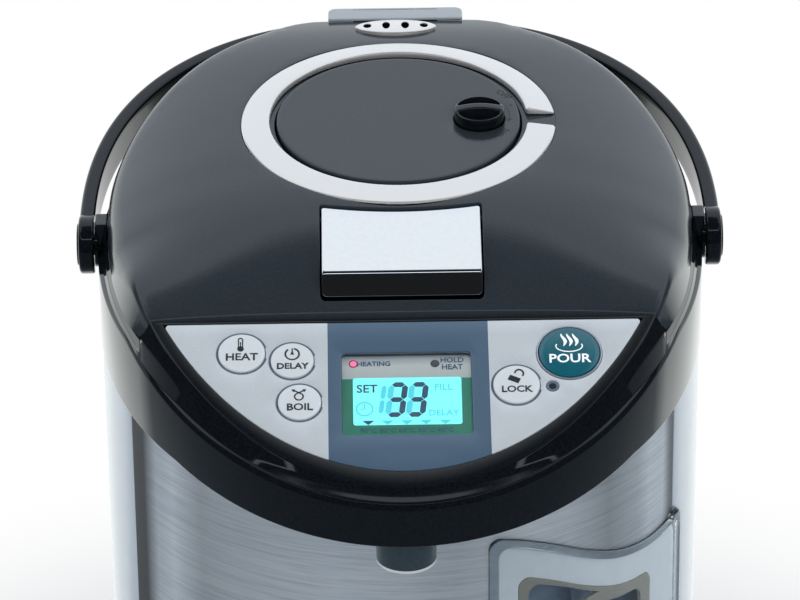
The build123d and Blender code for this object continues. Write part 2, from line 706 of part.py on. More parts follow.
for across, down in leds:
    under_window = abs(across) < window_w / 2
    lamp_top = -window_t - gap if under_window else -gap
    lamp_low = -board_depth + seat
    spot = panel_frame * Pos(across * panel_r + panel_shift, -down * panel_depth, 0)
    lamps += spot * Pos(0, 0, (lamp_top + lamp_low) / 2) * Cylinder(led_r, lamp_top - lamp_low)
    if not under_window:
        fascia -= spot * Cylinder(led_r + gap, 20)
parts["panel_fascia"] = fascia
parts["tact_switches"] = switches
parts["indicator_lamps"] = lamps

# ---- lid shell ----
skirt_gap = 0.5
lid_solid = egg(lid_r, lid_len, collar_z, reach_up) & under_lid(0)
lid_inner = egg(lid_r - lid_t, lid_len - lid_t, collar_z, reach_up) & under_lid(lid_t)
front_tan = tan(radians(lid_front_lean))


def behind_front(offset):
    """Everything behind the lid's leaning front wall, moved back by offset."""
    height = 2 * BIG
    lean = Pos(0, lid_front_y + offset, collar_z + panel_h) * Rot(lid_front_lean, 0, 0)
    return lean * Pos(0, BIG / 2, 0) * Box(height, BIG, height)


land_in = rim_land + gap
front_wall = egg(collar_r - land_in, beak_len - land_in, 0, reach_up) & in_front(panel_y + 10)
shell = (lid_solid & behind_front(0)) - (lid_inner & behind_front(lid_t))
shell -= under_rim(-skirt_gap) - front_wall
shell -= block(-BIG, BIG, -BIG, BIG, 0, collar_z + under_h + under_t + gap)
seat_ring = ring_frame * (Pos(0, 0, -ring_t - 1.6) * Cylinder(ring_out + ring_seat, 3.2))
shell += seat_ring & lid_solid
shell -= ring_frame * Pos(0, 0, -ring_t + 20) * Cylinder(ring_out + ring_seat, 40)
shell -= ring_frame * Cylinder(well_r, 60)
shell += ring_frame * (Pos(0, 0, -ring_t - well_depth / 2) * (Cylinder(well_r + well_wall, well_depth)
                                                              - Cylinder(well_r, well_depth + 1)))
lever_tan = tan(radians(lever_slope))
pin_z = collar_z + lever_front_h + (lever_pin_y - lever_front_y) * lever_tan - lever_pin_drop
lever_hole = block(-lever_w / 2 - lever_gap, lever_w / 2 + lever_gap, lever_front_y - 4.6, lever_back_y + lever_back_gap,
                   collar_z + 38, reach_up)
lever_hole -= ring_frame * Cylinder(ring_out + lever_arc_gap - lever_back_gap, 80)
shell -= lever_hole
shell -= rod(hinge_barrel_r + gap + 0.1, -hinge_w / 2 - gap, hinge_w / 2 + gap, hinge_y, hinge_z)
bolt_low = collar_z + bolt_h - bolt_t / 2
shell -= rod(lever_pin_r + seat, -lever_w, lever_w, lever_pin_y, pin_z)
shell -= block(-bolt_w / 2 - gap, bolt_w / 2 + gap, lid_front_y - 10, lid_front_y + 20,
               bolt_low - gap, bolt_low + bolt_t + gap)
parts["lid_shell"] = shell

# ---- lid underside, plug and gasket ----
under_z = collar_z + under_h
under = egg(under_r, lid_len - (lid_r - under_r), under_z, under_z + under_t)
under -= in_front(under_front_y)
under += tube(plug_r, plug_r - 2, under_z - plug_depth, under_z)
under += cyl(plug_r, under_z - plug_depth, under_z - plug_depth + 2)
under -= cyl(6, under_z - 2 * plug_depth, under_z + under_t + 1, 0, ring_y)
inside_top = under_lid(lid_t + seat)
for x, y in bosses:
    under += cyl(boss_r, under_z + under_t, reach_up, x, y) & inside_top
guide_w = bolt_w / 2 + gap
guide_back = bolt_nose_y + bolt_len + bolt_run
for side in (-1, 1):
    x0 = min(side * guide_w, side * (guide_w + 2))
    under += block(x0, x0 + 2, under_front_y + 0.1, guide_back, under_z, bolt_low + bolt_t)
under += block(-guide_w - 2, guide_w + 2, under_front_y + 0.1, guide_back, under_z, bolt_low - gap)
parts["lid_underside"] = under
parts["lid_gasket"] = tube(gasket_r, gasket_r - gasket_w, deck_top + gap, under_z - gap)
parts["latch_bolt"] = block(-bolt_w / 2, bolt_w / 2, bolt_nose_y, bolt_nose_y + bolt_len, bolt_low, bolt_low + bolt_t)

# ---- trim ring ----
trim_section = Plane.XZ * make_face(Polyline([(ring_in, 0), (ring_out, -ring_fall), (ring_out, -ring_t),
                                              (ring_in, -ring_t), (ring_in, 0)]))
trim = ring_frame * revolve(trim_section, Axis.Z)
trim -= ring_frame * Pos(ring_out, 0, 0) * Box(2 * (ring_out - ring_in) + 4, ring_gap, 20)
parts["lid_ring"] = trim

# ---- press plate of the pump and its lock knob ----
face = -plate_low
plate = ring_frame * (Pos(0, 0, face - plate_t / 2) * Cylinder(plate_r, plate_t))
skirt = Cylinder(plate_r, plate_skirt) - Cylinder(plate_r - 2, plate_skirt + 1)
plate += ring_frame * (Pos(0, 0, face - plate_t - plate_skirt / 2) * skirt)
knob_frame = ring_frame * Pos(knob_x, knob_y, 0)
plate -= knob_frame * Pos(0, 0, face) * Cylinder(knob_r + gap, 2 * knob_seat)
plate -= knob_frame * Cylinder(knob_stem_r + running, 40)
parts["pump_plate"] = plate
knob_low = face - knob_seat + running
knob = Pos(0, 0, knob_low + knob_t / 2) * Cylinder(knob_r, knob_t)
knob += Pos(0, 0, knob_low + knob_t + grip_h / 2 - 0.5) * Box(2 * knob_r - 2.4, grip_w, grip_h)
stem_low = face - plate_t - 2.4
knob += Pos(0, 0, (stem_low + knob_low) / 2) * Cylinder(knob_stem_r, knob_low - stem_low)
knob += Pos(0, 0, stem_low) * Cylinder(knob_stem_r + 2, 1.6)
parts["lock_knob"] = knob_frame * knob

# ---- bellows, its spring and base in the lid ----
bellows_top = face - plate_t - gap
fold = (bellows_top + bellows_low) / bellows_folds
outer = [(bellows_r - bellows_fold * (i % 2), -bellows_low + fold * i / 2) for i in range(2 * bellows_folds + 1)]
inner_line = [(r - bellows_wall, z) for r, z in reversed(outer)]
profile = Plane.XZ * make_face(Polyline(outer + inner_line + [outer[0]]))
parts["bellows"] = ring_frame * revolve(profile, Axis.Z)
base_top = -bellows_low - seat
parts["bellows_base"] = ring_frame * (Pos(0, 0, base_top - base_disc_t / 2) * (
    Cylinder(bellows_r + base_disc_w, base_disc_t) - Cylinder(6, base_disc_t + 1)))
spring_low = -bellows_low + spring_wire + gap
spring_high = bellows_top - spring_wire
coil = Pos(0, 0, spring_low) * Helix((spring_high - spring_low) / spring_turns, spring_high - spring_low, spring_r)
wire = sweep(Plane(origin=coil @ 0, z_dir=coil % 0) * Circle(spring_wire), path=coil)
parts["pump_spring"] = ring_frame * wire

# ---- steam vent plate ----
vent_slope = (lid_h(0, vent_y + 4) - lid_h(0, vent_y - 4)) / 8
vent_frame = Location((0, vent_y, collar_z + lid_h(0, vent_y)), (degrees(atan(vent_slope)), 0, 0))
vent = vent_frame * extrude(Ellipse(vent_w / 2, vent_l / 2), vent_t)
for x, a, b in vent_holes:
    vent -= vent_frame * Pos(x, 0, -2) * extrude(Ellipse(a, b), 8)
parts["steam_vent"] = vent - under_lid(-seat)

# ---- release lever ----
lip_y = lever_lip * sin(radians(lever_lip_lean))
lip_z = lever_lip * cos(radians(lever_lip_lean))
back_h = lever_front_h + (lever_back_y - lever_front_y) * lever_tan
lip_in = lever_t / cos(radians(lever_lip_lean))
side = [(lever_back_y, back_h), (lever_front_y, lever_front_h), (lever_front_y - lip_y, lever_front_h - lip_z),
        (lever_front_y - lip_y + lip_in, lever_front_h - lip_z),
        (lever_front_y + lip_in - 0.6, lever_front_h - lever_t + 0.4), (lever_back_y, back_h - lever_t)]
outline = Polyline([(y, collar_z + h) for y, h in side + side[:1]])
lever = Plane.YZ * extrude(make_face(outline), lever_w / 2, both=True)
lever -= ring_frame * Cylinder(ring_out + lever_arc_gap, 80)
lug_top = pin_z + lever_pin_drop - 1.0
for x in (-lever_lug_x, lever_lug_x):
    lug = rod(lever_pin_r + 1.2, x - lever_lug_w / 2, x + lever_lug_w / 2, lever_pin_y, pin_z)
    lug += block(x - lever_lug_w / 2, x + lever_lug_w / 2, lever_pin_y - 2.2, lever_pin_y + 2.2, pin_z, lug_top)
    lever += lug - rod(lever_pin_r + running, x - 5, x + 5, lever_pin_y, pin_z)
parts["release_lever"] = lever
parts["lever_pin"] = rod(lever_pin_r, -lever_w / 2 - 4, lever_w / 2 + 4, lever_pin_y, pin_z)

# ---- lid hinge ----
half = hinge_w / 2
knuckle = knuckle_w / 2
hinge_housing = block(-half, half, housing_y, housing_back_y, collar_z + housing_low_h, housing_top)
bracket = block(-half, half, hinge_front_y, hinge_back_y, collar_z + hinge_top_h - hinge_plate_t, collar_z + hinge_top_h)
bracket += block(-knuckle, knuckle, hinge_front_y, hinge_back_y, hinge_z, collar_z + hinge_top_h)
bracket -= egg(lid_r + seat, lid_len, collar_z, reach_up) & under_lid(-seat)
bracket += rod(hinge_barrel_r, -knuckle, knuckle, hinge_y, hinge_z)
bracket -= rod(hinge_pin_r + running, -60, 60, hinge_y, hinge_z)
for side in (-1, 1):
    x0 = min(side * (knuckle + gap), side * half)
    ear = rod(hinge_barrel_r, x0, x0 + half - knuckle - gap, hinge_y, hinge_z)
    ear += block(x0, x0 + half - knuckle - gap, housing_y, hinge_back_y, housing_top - 1, hinge_z)
    hinge_housing += ear
hinge_housing -= rod(hinge_pin_r + seat, -60, 60, hinge_y, hinge_z)
parts["hinge_housing"] = hinge_housing
parts["hinge_bracket"] = bracket
parts["hinge_pin"] = rod(hinge_pin_r, -half + 0.5, half - 0.5, hinge_y, hinge_z)

# ---- handle and its pivots ----
handle_frame = Location((0, 0, collar_z + handle_h), (handle_rest, 0, 0))


def bail_area(across, reach, power):
    """Half superellipse from one pivot round the rear to the other."""
    turns = [pi * i / 24 for i in range(25)]
    pts = [(across * (1 if cos(a) > 0 else -1) * abs(cos(a)) ** (2 / power), reach * abs(sin(a)) ** (2 / power))
           for a in turns]
    return make_face(Wire([Spline(pts), Line(pts[-1], pts[0])]))


bail = extrude(bail_area(handle_r, handle_reach, handle_power), handle_band / 2, both=True)
bail -= extrude(bail_area(handle_inner, handle_reach - handle_t, handle_power), handle_band, both=True)
for side in (-1, 1):
    x0 = min(side * handle_inner, side * handle_r)
    end = Pos(x0 + (handle_r - handle_inner) / 2, 0, 0) * Rot(0, 90, 0)
    bail += end * Cylinder(handle_end_r, handle_r - handle_inner)
    bail -= end * Cylinder(pivot_r + running, 4 * handle_t)
grip = block(-handle_grip_w / 2, handle_grip_w / 2, 0, BIG, -BIG, BIG)
between_arms = block(-handle_grip_w / 2 - seat, handle_grip_w / 2 + seat, 0, BIG, -BIG, BIG)
parts["handle"] = handle_frame * (bail - between_arms)
parts["handle_grip"] = handle_frame * (bail & grip)
caps = Part()
posts = Part()
for side in (-1, 1):
    x0 = min(side * (handle_r + seat), side * (handle_r + cap_t))
    caps += rod(cap_r, x0, x0 + cap_t - seat, 0, collar_z + handle_h)
    post_in = side * (ear_x + 0.5)
    post_out = side * (handle_r - gap)
    posts += rod(pivot_r, min(post_in, post_out), max(post_in, post_out), 0, collar_z + handle_h)
    boss = (side * (collar_r + seat), side * (handle_inner - 0.2))
    posts += rod(pivot_boss_r, min(boss), max(boss), 0, collar_z + handle_h)
parts["handle_caps"] = caps
parts["handle_pivots"] = posts

for name, shape in parts.items():
    export_step(shape, f"parts/{name}.step")
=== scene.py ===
import math

import bmesh
import bpy
import numpy as np
from mathutils import Matrix, Vector
from mathutils.geometry import delaunay_2d_cdt


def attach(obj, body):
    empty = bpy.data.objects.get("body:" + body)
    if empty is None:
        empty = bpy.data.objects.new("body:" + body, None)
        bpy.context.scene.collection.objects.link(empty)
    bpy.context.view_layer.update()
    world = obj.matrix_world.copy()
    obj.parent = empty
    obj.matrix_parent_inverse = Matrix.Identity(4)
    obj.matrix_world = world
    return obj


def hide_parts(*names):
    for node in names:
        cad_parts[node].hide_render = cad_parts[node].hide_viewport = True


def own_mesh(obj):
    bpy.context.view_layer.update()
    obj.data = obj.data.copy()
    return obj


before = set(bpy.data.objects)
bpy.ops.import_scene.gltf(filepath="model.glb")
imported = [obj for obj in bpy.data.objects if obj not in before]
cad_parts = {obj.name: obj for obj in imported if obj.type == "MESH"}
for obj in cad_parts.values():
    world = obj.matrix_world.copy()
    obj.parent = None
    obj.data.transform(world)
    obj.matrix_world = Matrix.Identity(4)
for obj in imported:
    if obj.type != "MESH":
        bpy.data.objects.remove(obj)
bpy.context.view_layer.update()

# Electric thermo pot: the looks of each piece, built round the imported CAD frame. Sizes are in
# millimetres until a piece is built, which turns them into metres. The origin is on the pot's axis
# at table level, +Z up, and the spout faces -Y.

# ---- Camera -------------------------------------------------------------------------------------
# A long lens looks down on the front of the pot from 28.5 degrees above the table, from half a
# degree to the left of the spout, and turned a little about its own axis.
view_tilt, view_turn, view_roll = 28.5, -0.5, -0.6
camera_data = bpy.data.cameras.new("studio_camera")
camera_data.lens = 224.06
camera_data.sensor_width = 36.0
camera_data.clip_end = 20.0
camera = bpy.data.objects.new("studio_camera", camera_data)
bpy.context.scene.collection.objects.link(camera)
camera.matrix_world = (Matrix.Translation((-0.0139, -1.5722, 1.1202))
                       @ Matrix.Rotation(math.radians(view_turn), 4, "Z")
                       @ Matrix.Rotation(math.radians(90 - view_tilt), 4, "X")
                       @ Matrix.Rotation(math.radians(view_roll), 4, "Z"))
bpy.context.scene.camera = camera
bpy.context.scene.view_settings.view_transform = "Standard"

# ---- Studio -------------------------------------------------------------------------------------
# White cyclorama with soft lamps overhead and at the sides. Gloss and glass see the white room,
# with a dark flag in front of the pot that keeps its black front black, and above the flag a long
# bright strip that draws a thin light line along each rolled edge.


def node(tree, kind, **values):
    """New shader node. A lower-case name sets one of its options; i0, i1 or a capitalised name sets
    an input, to a value or to another node's socket."""
    made = tree.nodes.new("ShaderNode" + kind)
    for name, value in values.items():
        numbered = name[1:].isdigit()
        if name[0].islower() and not numbered:
            setattr(made, name, value)
            continue
        socket = made.inputs[int(name[1:]) if numbered else name.replace("_", " ")]
        if isinstance(value, bpy.types.NodeSocket):
            tree.links.new(value, socket)
        else:
            socket.default_value = value
    return made


def maths(tree, operation, *terms, clamp=False):
    """Result of a math node whose terms are numbers or sockets."""
    numbered = {f"i{i}": term for i, term in enumerate(terms)}
    return node(tree, "Math", operation=operation, use_clamp=clamp, **numbered).outputs[0]


def ramp(tree, value, stops, mode="LINEAR"):
    """Colour ramp over value through (position, grey or colour) stops."""
    made = node(tree, "ValToRGB", i0=value)
    made.color_ramp.interpolation = mode
    while len(made.color_ramp.elements) < len(stops):
        made.color_ramp.elements.new(0.5)
    for element, (place, tone) in zip(made.color_ramp.elements, stops):
        element.position = place
        element.color = (*tone, 1.0) if hasattr(tone, "__len__") else (tone, tone, tone, 1.0)
    return made.outputs[0]


def mixed(tree, share, first, second):
    """Shader that passes from the first to the second as the share goes from 0 to 1."""
    return node(tree, "MixShader", i0=share, i1=first, i2=second).outputs[0]


world = bpy.data.worlds.new("studio_room")
world.use_nodes = True
bpy.context.scene.world = world
room = world.node_tree
room.nodes.clear()
way = node(room, "SeparateXYZ", i0=node(room, "TexCoord").outputs["Generated"]).outputs
to_rear = maths(room, "MULTIPLY_ADD", way["Y"], 0.5, 0.5)
to_front = maths(room, "MULTIPLY_ADD", way["Y"], -0.5, 0.5)
above = ramp(room, way["Z"], [(0.34, 0.03), (0.52, 1.0)], "EASE")
not_ahead = ramp(room, to_rear, [(0.38, 0.012), (0.52, 1.0)], "EASE")
behind_pot = ramp(room, to_rear, [(0.72, 0.012), (0.88, 1.0)], "EASE")
lit = maths(room, "MAXIMUM", maths(room, "MULTIPLY", above, not_ahead), behind_pot)
strip_height = ramp(room, way["Z"], [(0.690, 0.0), (0.715, 1.0), (0.735, 1.0), (0.760, 0.0)], "EASE")
strip_side = ramp(room, to_front, [(0.58, 0.0), (0.66, 1.0)], "EASE")
strip_glow = 1.8
lit = maths(room, "MULTIPLY_ADD", maths(room, "MULTIPLY", strip_height, strip_side), strip_glow, lit)
zenith = ramp(room, way["Z"], [
    (0.0, (0.90, 0.95, 1.0)), (0.60, (0.76, 0.84, 0.93)), (0.85, (0.76, 0.82, 0.90)),
    (0.948, (0.82, 0.85, 0.88)), (0.984, (0.05, 0.07, 0.09)), (1.0, (0.03, 0.045, 0.06))])
mirrored = node(room, "VectorMath", operation="SCALE", i0=zenith, Scale=lit).outputs[0]
path = node(room, "LightPath").outputs
sees_white = maths(room, "MAXIMUM", path["Is Camera Ray"], path["Is Transmission Ray"])
white = node(room, "Background", Color=(1, 1, 1, 1), Strength=1.0).outputs[0]
soft = node(room, "Background", Color=(0.93, 0.96, 1.0, 1), Strength=0.55).outputs[0]
gloss = node(room, "Background", Color=mirrored, Strength=1.15).outputs[0]
seen = mixed(room, path["Is Glossy Ray"], mixed(room, sees_white, soft, white), gloss)
node(room, "OutputWorld", Surface=seen)

for name, power, size, at, aim in (("overhead_lamp", 6.5, 1.1, (0.15, -0.35, 1.45), (0, 0, 0.25)),
                                   ("left_lamp", 3.5, 0.8, (-1.2, -0.6, 0.7), (0, 0, 0.2)),
                                   ("right_lamp", 3.5, 0.8, (1.2, -0.5, 0.7), (0, 0, 0.2))):
    lamp_data = bpy.data.lights.new(name, "AREA")
    lamp_data.energy = power
    lamp_data.size = size
    lamp = bpy.data.objects.new(name, lamp_data)
    lamp.location = at
    lamp.rotation_euler = (Vector(aim) - Vector(at)).to_track_quat("-Z", "Y").to_euler()
    lamp.visible_glossy = False
    bpy.context.scene.collection.objects.link(lamp)

floor_r, floor_z = 2.2, -0.0002
floor_mesh = bpy.data.meshes.new("studio_floor")
turn = np.linspace(0, 2 * np.pi, 97)[:-1]
floor_points = np.stack([floor_r * np.cos(turn), floor_r * np.sin(turn), floor_z + 0 * turn], 1)
floor_mesh.from_pydata(floor_points.tolist(), [], [list(range(96))])
floor = bpy.data.objects.new("studio_floor", floor_mesh)
bpy.context.scene.collection.objects.link(floor)
paper = bpy.data.materials.new("studio_paper")
paper.use_nodes = True
sheet = paper.node_tree
sheet.nodes.clear()
spot = node(sheet, "TexCoord").outputs["Object"]
distance = node(sheet, "VectorMath", operation="LENGTH", i0=spot).outputs["Value"]
aim = node(sheet, "VectorMath", operation="NORMALIZE", i0=spot).outputs[0]
to_rear = maths(sheet, "MULTIPLY_ADD", node(sheet, "SeparateXYZ", i0=aim).outputs["Y"], 0.5, 0.5)
matt = node(sheet, "BsdfDiffuse", Color=(0.86, 0.87, 0.88, 1)).outputs[0]
glow = node(sheet, "Emission", Color=(1, 1, 1, 1), Strength=1.0).outputs[0]
fade = ramp(sheet, distance, [(0.0, 0.0), (0.16, 0.1), (0.36, 1.0)], "EASE")
mirror_tone = ramp(sheet, to_rear, [
    (0.0, (0.10, 0.13, 0.155)), (0.20, (0.12, 0.15, 0.17)), (0.50, (0.20, 0.24, 0.27)),
    (0.70, (0.35, 0.39, 0.41)), (0.76, (1.0, 1.05, 1.04)), (0.92, (1.25, 1.3, 1.28)), (1.0, (1.0, 1.0, 1.0))])
mirror_glow = node(sheet, "Emission", Color=mirror_tone, Strength=1.0).outputs[0]
is_gloss = node(sheet, "LightPath").outputs["Is Glossy Ray"]
node(sheet, "OutputMaterial", Surface=mixed(sheet, is_gloss, mixed(sheet, fade, matt, glow), mirror_glow))
floor_mesh.materials.append(paper)

# ---- Base ring, base plate, feet and screws -----------------------------------------------------
# The foot of the pot is a satin black moulding that grips both shells in a groove. A flat plate
# closes it from below, held by four screws, and it stands on four rubber feet.


def surface(name, color, roughness, metallic=0.0, tint=0.0, spread=0.0, bump=0.0, grain=400.0, stretch=None,
            **sockets):
    """Principled finish on Object coordinates.

    A fine noise of `grain` waves per metre darkens and lightens the colour by `tint`, moves the
    roughness by `spread` and lifts the surface by `bump`. `stretch` scales the noise per axis.
    """
    made = bpy.data.materials.new(name)
    made.use_nodes = True
    tree = made.node_tree
    shader = tree.nodes["Principled BSDF"].inputs
    shader["Base Color"].default_value = (*color, 1.0)
    shader["Roughness"].default_value = roughness
    shader["Metallic"].default_value = metallic
    for key, value in sockets.items():
        shader[key.replace("_", " ")].default_value = value
    where = node(tree, "TexCoord").outputs["Object"]
    if stretch:
        where = node(tree, "Mapping", Vector=where, Scale=stretch).outputs[0]
    value = node(tree, "TexNoise", Vector=where, Scale=grain, Detail=4.0, Roughness=0.6).outputs[0]
    if tint:
        dark = [c * (1 - tint) for c in color]
        pale = [min(c * (1 + tint) + 0.02 * tint, 1.0) for c in color]
        tree.links.new(ramp(tree, value, [(0.3, dark), (0.7, pale)]), shader["Base Color"])
    if spread:
        varied = maths(tree, "MULTIPLY_ADD", value, 2 * spread, roughness - spread, clamp=True)
        tree.links.new(varied, shader["Roughness"])
    if bump:
        relief = node(tree, "Bump", Strength=1.0, Distance=bump, Height=value).outputs[0]
        tree.links.new(relief, shader["Normal"])
    return made


class Piece:
    """Points and faces of one piece, gathered patch by patch in millimetres."""

    def __init__(self):
        self.points, self.quads, self.charts, self.count = [], [], [], 0

    def add(self, points, quads, chart=None):
        """Adds points and faces; a triangle repeats its last corner. `chart` holds UVs per point."""
        points = np.asarray(points, float).reshape(-1, 3)
        quads = np.asarray(quads, int)
        if quads.shape[1] == 3:
            quads = np.concatenate([quads, quads[:, 2:]], 1)
        self.points.append(points)
        self.quads.append(quads + self.count)
        self.charts.append(points[:, :2] * 0 if chart is None else np.asarray(chart, float).reshape(-1, 2))
        self.count += len(points)
        return self

    def grid(self, points, wrap=False, chart=None):
        """Joins neighbours of a grid of points by quads; `wrap` closes it along its second axis."""
        rows, columns = points.shape[:2]
        index = np.arange(rows * columns).reshape(rows, columns)
        if wrap:
            index = np.concatenate([index, index[:, :1]], 1)
        corners = [index[:-1, :-1], index[1:, :-1], index[1:, 1:], index[:-1, 1:]]
        return self.add(points, np.stack(corners, -1).reshape(-1, 4), chart)

    def turned(self, profile, put, around=96):
        """Ring turned about a frame's axis from a closed profile (radius, height)."""
        return self.grid(lathe(closed(profile), put, around), wrap=True)

    def fan(self, ring):
        """Closes a ring of points by triangles to its middle."""
        ring = np.asarray(ring, float)
        n = len(ring)
        index = np.arange(n)
        triangles = np.stack([index, (index + 1) % n, index * 0 + n], 1)
        return self.add(np.concatenate([ring, ring.mean(0)[None]]), triangles)

    def build(self, name, body, slot, material, replaces=(), sharp=34.0, chart=None):
        """Welds equal points, turns the faces outwards and hangs the mesh on its body.

        Edges sharper than `sharp` degrees stay crisp. `chart` names the UV layer, if there is one.
        """
        points = np.concatenate(self.points)
        quads = np.concatenate(self.quads)
        uv = np.concatenate(self.charts)
        tenths = np.round(points * 1e4).astype(np.int64)
        _, first, same = np.unique(tenths, axis=0, return_index=True, return_inverse=True)
        corner_uv = uv[quads]
        quads = same.reshape(-1)[quads]
        double = quads == np.roll(quads, -1, axis=1)
        whole = double.sum(1) == 0
        three = double.sum(1) == 1
        loops = np.concatenate([quads[whole].reshape(-1), quads[three][~double[three]]])
        loop_uv = np.concatenate([corner_uv[whole].reshape(-1, 2), corner_uv[three][~double[three]]])
        sizes = np.concatenate([np.full(whole.sum(), 4), np.full(three.sum(), 3)])
        mesh = bpy.data.meshes.new(name)
        mesh.vertices.add(len(first))
        mesh.vertices.foreach_set("co", (points[first] * 0.001).astype(np.float32).ravel())
        mesh.loops.add(len(loops))
        mesh.loops.foreach_set("vertex_index", loops.astype(np.int32))
        mesh.polygons.add(len(sizes))
        mesh.polygons.foreach_set("loop_start", (np.cumsum(sizes) - sizes).astype(np.int32))
        if chart is not None:
            layer = mesh.uv_layers.new(name=chart)
            layer.data.foreach_set("uv", (loop_uv * 0.001).astype(np.float32).ravel())
        mesh.update(calc_edges=True)
        mesh.validate()
        work = bmesh.new()
        work.from_mesh(mesh)
        bmesh.ops.recalc_face_normals(work, faces=work.faces)
        work.to_mesh(mesh)
        work.free()
        mesh.shade_smooth()
        mesh.set_sharp_from_angle(angle=math.radians(sharp))
        mesh.materials.append(material)
        made = bpy.data.objects.new(name, mesh)
        bpy.context.scene.collection.objects.link(made)
        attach(made, body)
        if replaces:
            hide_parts(*([replaces] if isinstance(replaces, str) else replaces))
        return made


def soft_corners(points, radii, closed=True, steps=6):
    """Polygon with each corner rounded: an arc of that radius runs between the two tangent points."""
    points = np.asarray(points, float)
    n = len(points)
    radii = np.broadcast_to(radii, n)
    out = []
    for i in range(n):
        here = points[i]
        if radii[i] <= 0 or (not closed and i in (0, n - 1)):
            out.append(here)
            continue
        to_last, to_next = points[i - 1] - here, points[(i + 1) % n] - here
        la, lb = np.hypot(*to_last), np.hypot(*to_next)
        ua, ub = to_last / la, to_next / lb
        half = math.acos(max(-1.0, min(1.0, float(ua @ ub)))) / 2
        if half > math.pi / 2 - 1e-3:
            out.append(here)
            continue
        reach = min(radii[i] / math.tan(half), 0.49 * la, 0.49 * lb)
        radius = reach * math.tan(half)
        middle = here + (ua + ub) / np.hypot(*(ua + ub)) * radius / math.sin(half)
        a = here + ua * reach - middle
        b = here + ub * reach - middle
        sweep = math.pi - 2 * half
        for t in np.arange(steps + 1) / steps:
            out.append(middle + (a * math.sin((1 - t) * sweep) + b * math.sin(t * sweep)) / math.sin(sweep))
    return np.array(out)


def soft_box(x0, y0, x1, y1, radii, steps=6):
    """Rectangle with rounded corners, from its lower left one round by the right."""
    return soft_corners([(x0, y0), (x1, y0), (x1, y1), (x0, y1)], radii, steps=steps)


def upright(x=0.0, y=0.0, z=0.0):
    """Frame at a place, not turned."""
    return lambda local: np.asarray(local, float) + (x, y, z)


def leaning(origin, degrees):
    """Frame turned about X: y' = y cos - z sin, z' = y sin + z cos."""
    c, s = math.cos(math.radians(degrees)), math.sin(math.radians(degrees))

    def put(local):
        x, y, z = np.moveaxis(np.asarray(local, float), -1, 0)
        return np.stack([origin[0] + x, origin[1] + y * c - z * s, origin[2] + y * s + z * c], -1)
    return put


def lathe(profile, put, around=96):
    """Grid of a profile (radius, height) turned about a frame's axis: x = r sin a, y = -r cos a."""
    a = np.linspace(0, 2 * np.pi, around, endpoint=False)
    r, z = np.asarray(profile, float).T
    return put(np.stack([r[:, None] * np.sin(a), -r[:, None] * np.cos(a), z[:, None] + 0 * a], -1))


def circle(radius, x=0.0, y=0.0, steps=48):
    """Counter-clockwise ring of points."""
    a = np.linspace(0, 2 * np.pi, steps, endpoint=False)
    return np.stack([x + radius * np.cos(a), y + radius * np.sin(a)], 1)


def closed(profile):
    """Profile with its first point repeated at the end."""
    return np.concatenate([profile, profile[:1]])


def dress(material, *names):
    """Gives CAD nodes a finish."""
    for name in names:
        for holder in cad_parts[name].material_slots:
            holder.material = material


moulded = surface("satin_black_moulding", (0.018, 0.019, 0.021), 0.42, spread=0.06, tint=0.12, bump=0.00003,
                  grain=900)
rubber = surface("foot_rubber", (0.03, 0.03, 0.031), 0.78, tint=0.2, bump=0.0001, grain=700)
zinc = surface("zinc_plated_steel", (0.58, 0.59, 0.60), 0.34, metallic=1.0, tint=0.06, spread=0.08, grain=350)
ring_out, ring_in, ring_low, ring_top = 108.8, 105.8, 4.0, 36.0
groove_r, groove_floor = 107.3, 33.0
inlet_half, inlet_low, inlet_top = 17.05, 11.95, 32.05
section = soft_corners([(ring_in, ring_low), (ring_out, ring_low), (ring_out, inlet_low),
                        (ring_out, inlet_top), (ring_out, ring_top), (groove_r, ring_top),
                        (groove_r, groove_floor), (ring_in, groove_floor), (ring_in, inlet_top),
                        (ring_in, inlet_low)],
                       [0.4, 1.4, 0, 0, 1.2, 0.3, 0, 0.3, 0, 0], steps=5)
gap_turn = math.asin(inlet_half / ring_out)
last = 140              # columns 0 to `last` run round the ring, and the others cross the inlet
columns = np.concatenate([np.linspace(math.pi + gap_turn, 3 * math.pi - gap_turn, last + 1),
                          np.linspace(math.pi - gap_turn, math.pi + gap_turn, 9)[1:-1]])
r, z = closed(section).T
wall = np.stack([r[:, None] * np.sin(columns), -r[:, None] * np.cos(columns), z[:, None] + 0 * columns], -1)
rows, across = len(r), len(columns)
index = np.arange(rows * across).reshape(rows, across)
index = np.concatenate([index, index[:, :1]], 1)
quads = np.stack([index[:-1, :-1], index[1:, :-1], index[1:, 1:], index[:-1, 1:]], -1)
low = np.minimum(z[:-1], z[1:])[:, None]
high = np.maximum(z[:-1], z[1:])[:, None]
at_inlet = (np.arange(across) >= last)[None, :] & (low > inlet_low - 0.01) & (high < inlet_top + 0.01)
base = Piece().add(wall, quads[~at_inlet])
for level in (inlet_low, inlet_top):
    rim = [i for i in range(rows) if abs(z[i] - level) < 1e-6][:2]
    base.grid(wall[rim][:, np.r_[last:across, 0]])
for side in (last, 0):
    spots = [i for i in range(rows - 1) if inlet_low - 1e-6 < z[i] < inlet_top + 1e-6]
    outer = [i for i in spots if r[i] > 107]
    inner = [i for i in spots if r[i] < 107]
    base.grid(np.stack([wall[outer, side], wall[inner[::-1], side]]))
base.build("base_ring_skin", "pot", "black_plastic", moulded, "base_ring")
dress(moulded, "base_plate", "inlet_socket", "tact_switches", "lever_pin")
dress(rubber, "rubber_feet")
dress(zinc, "base_screws", "thermostat", "latch_keeper", "hinge_pin")

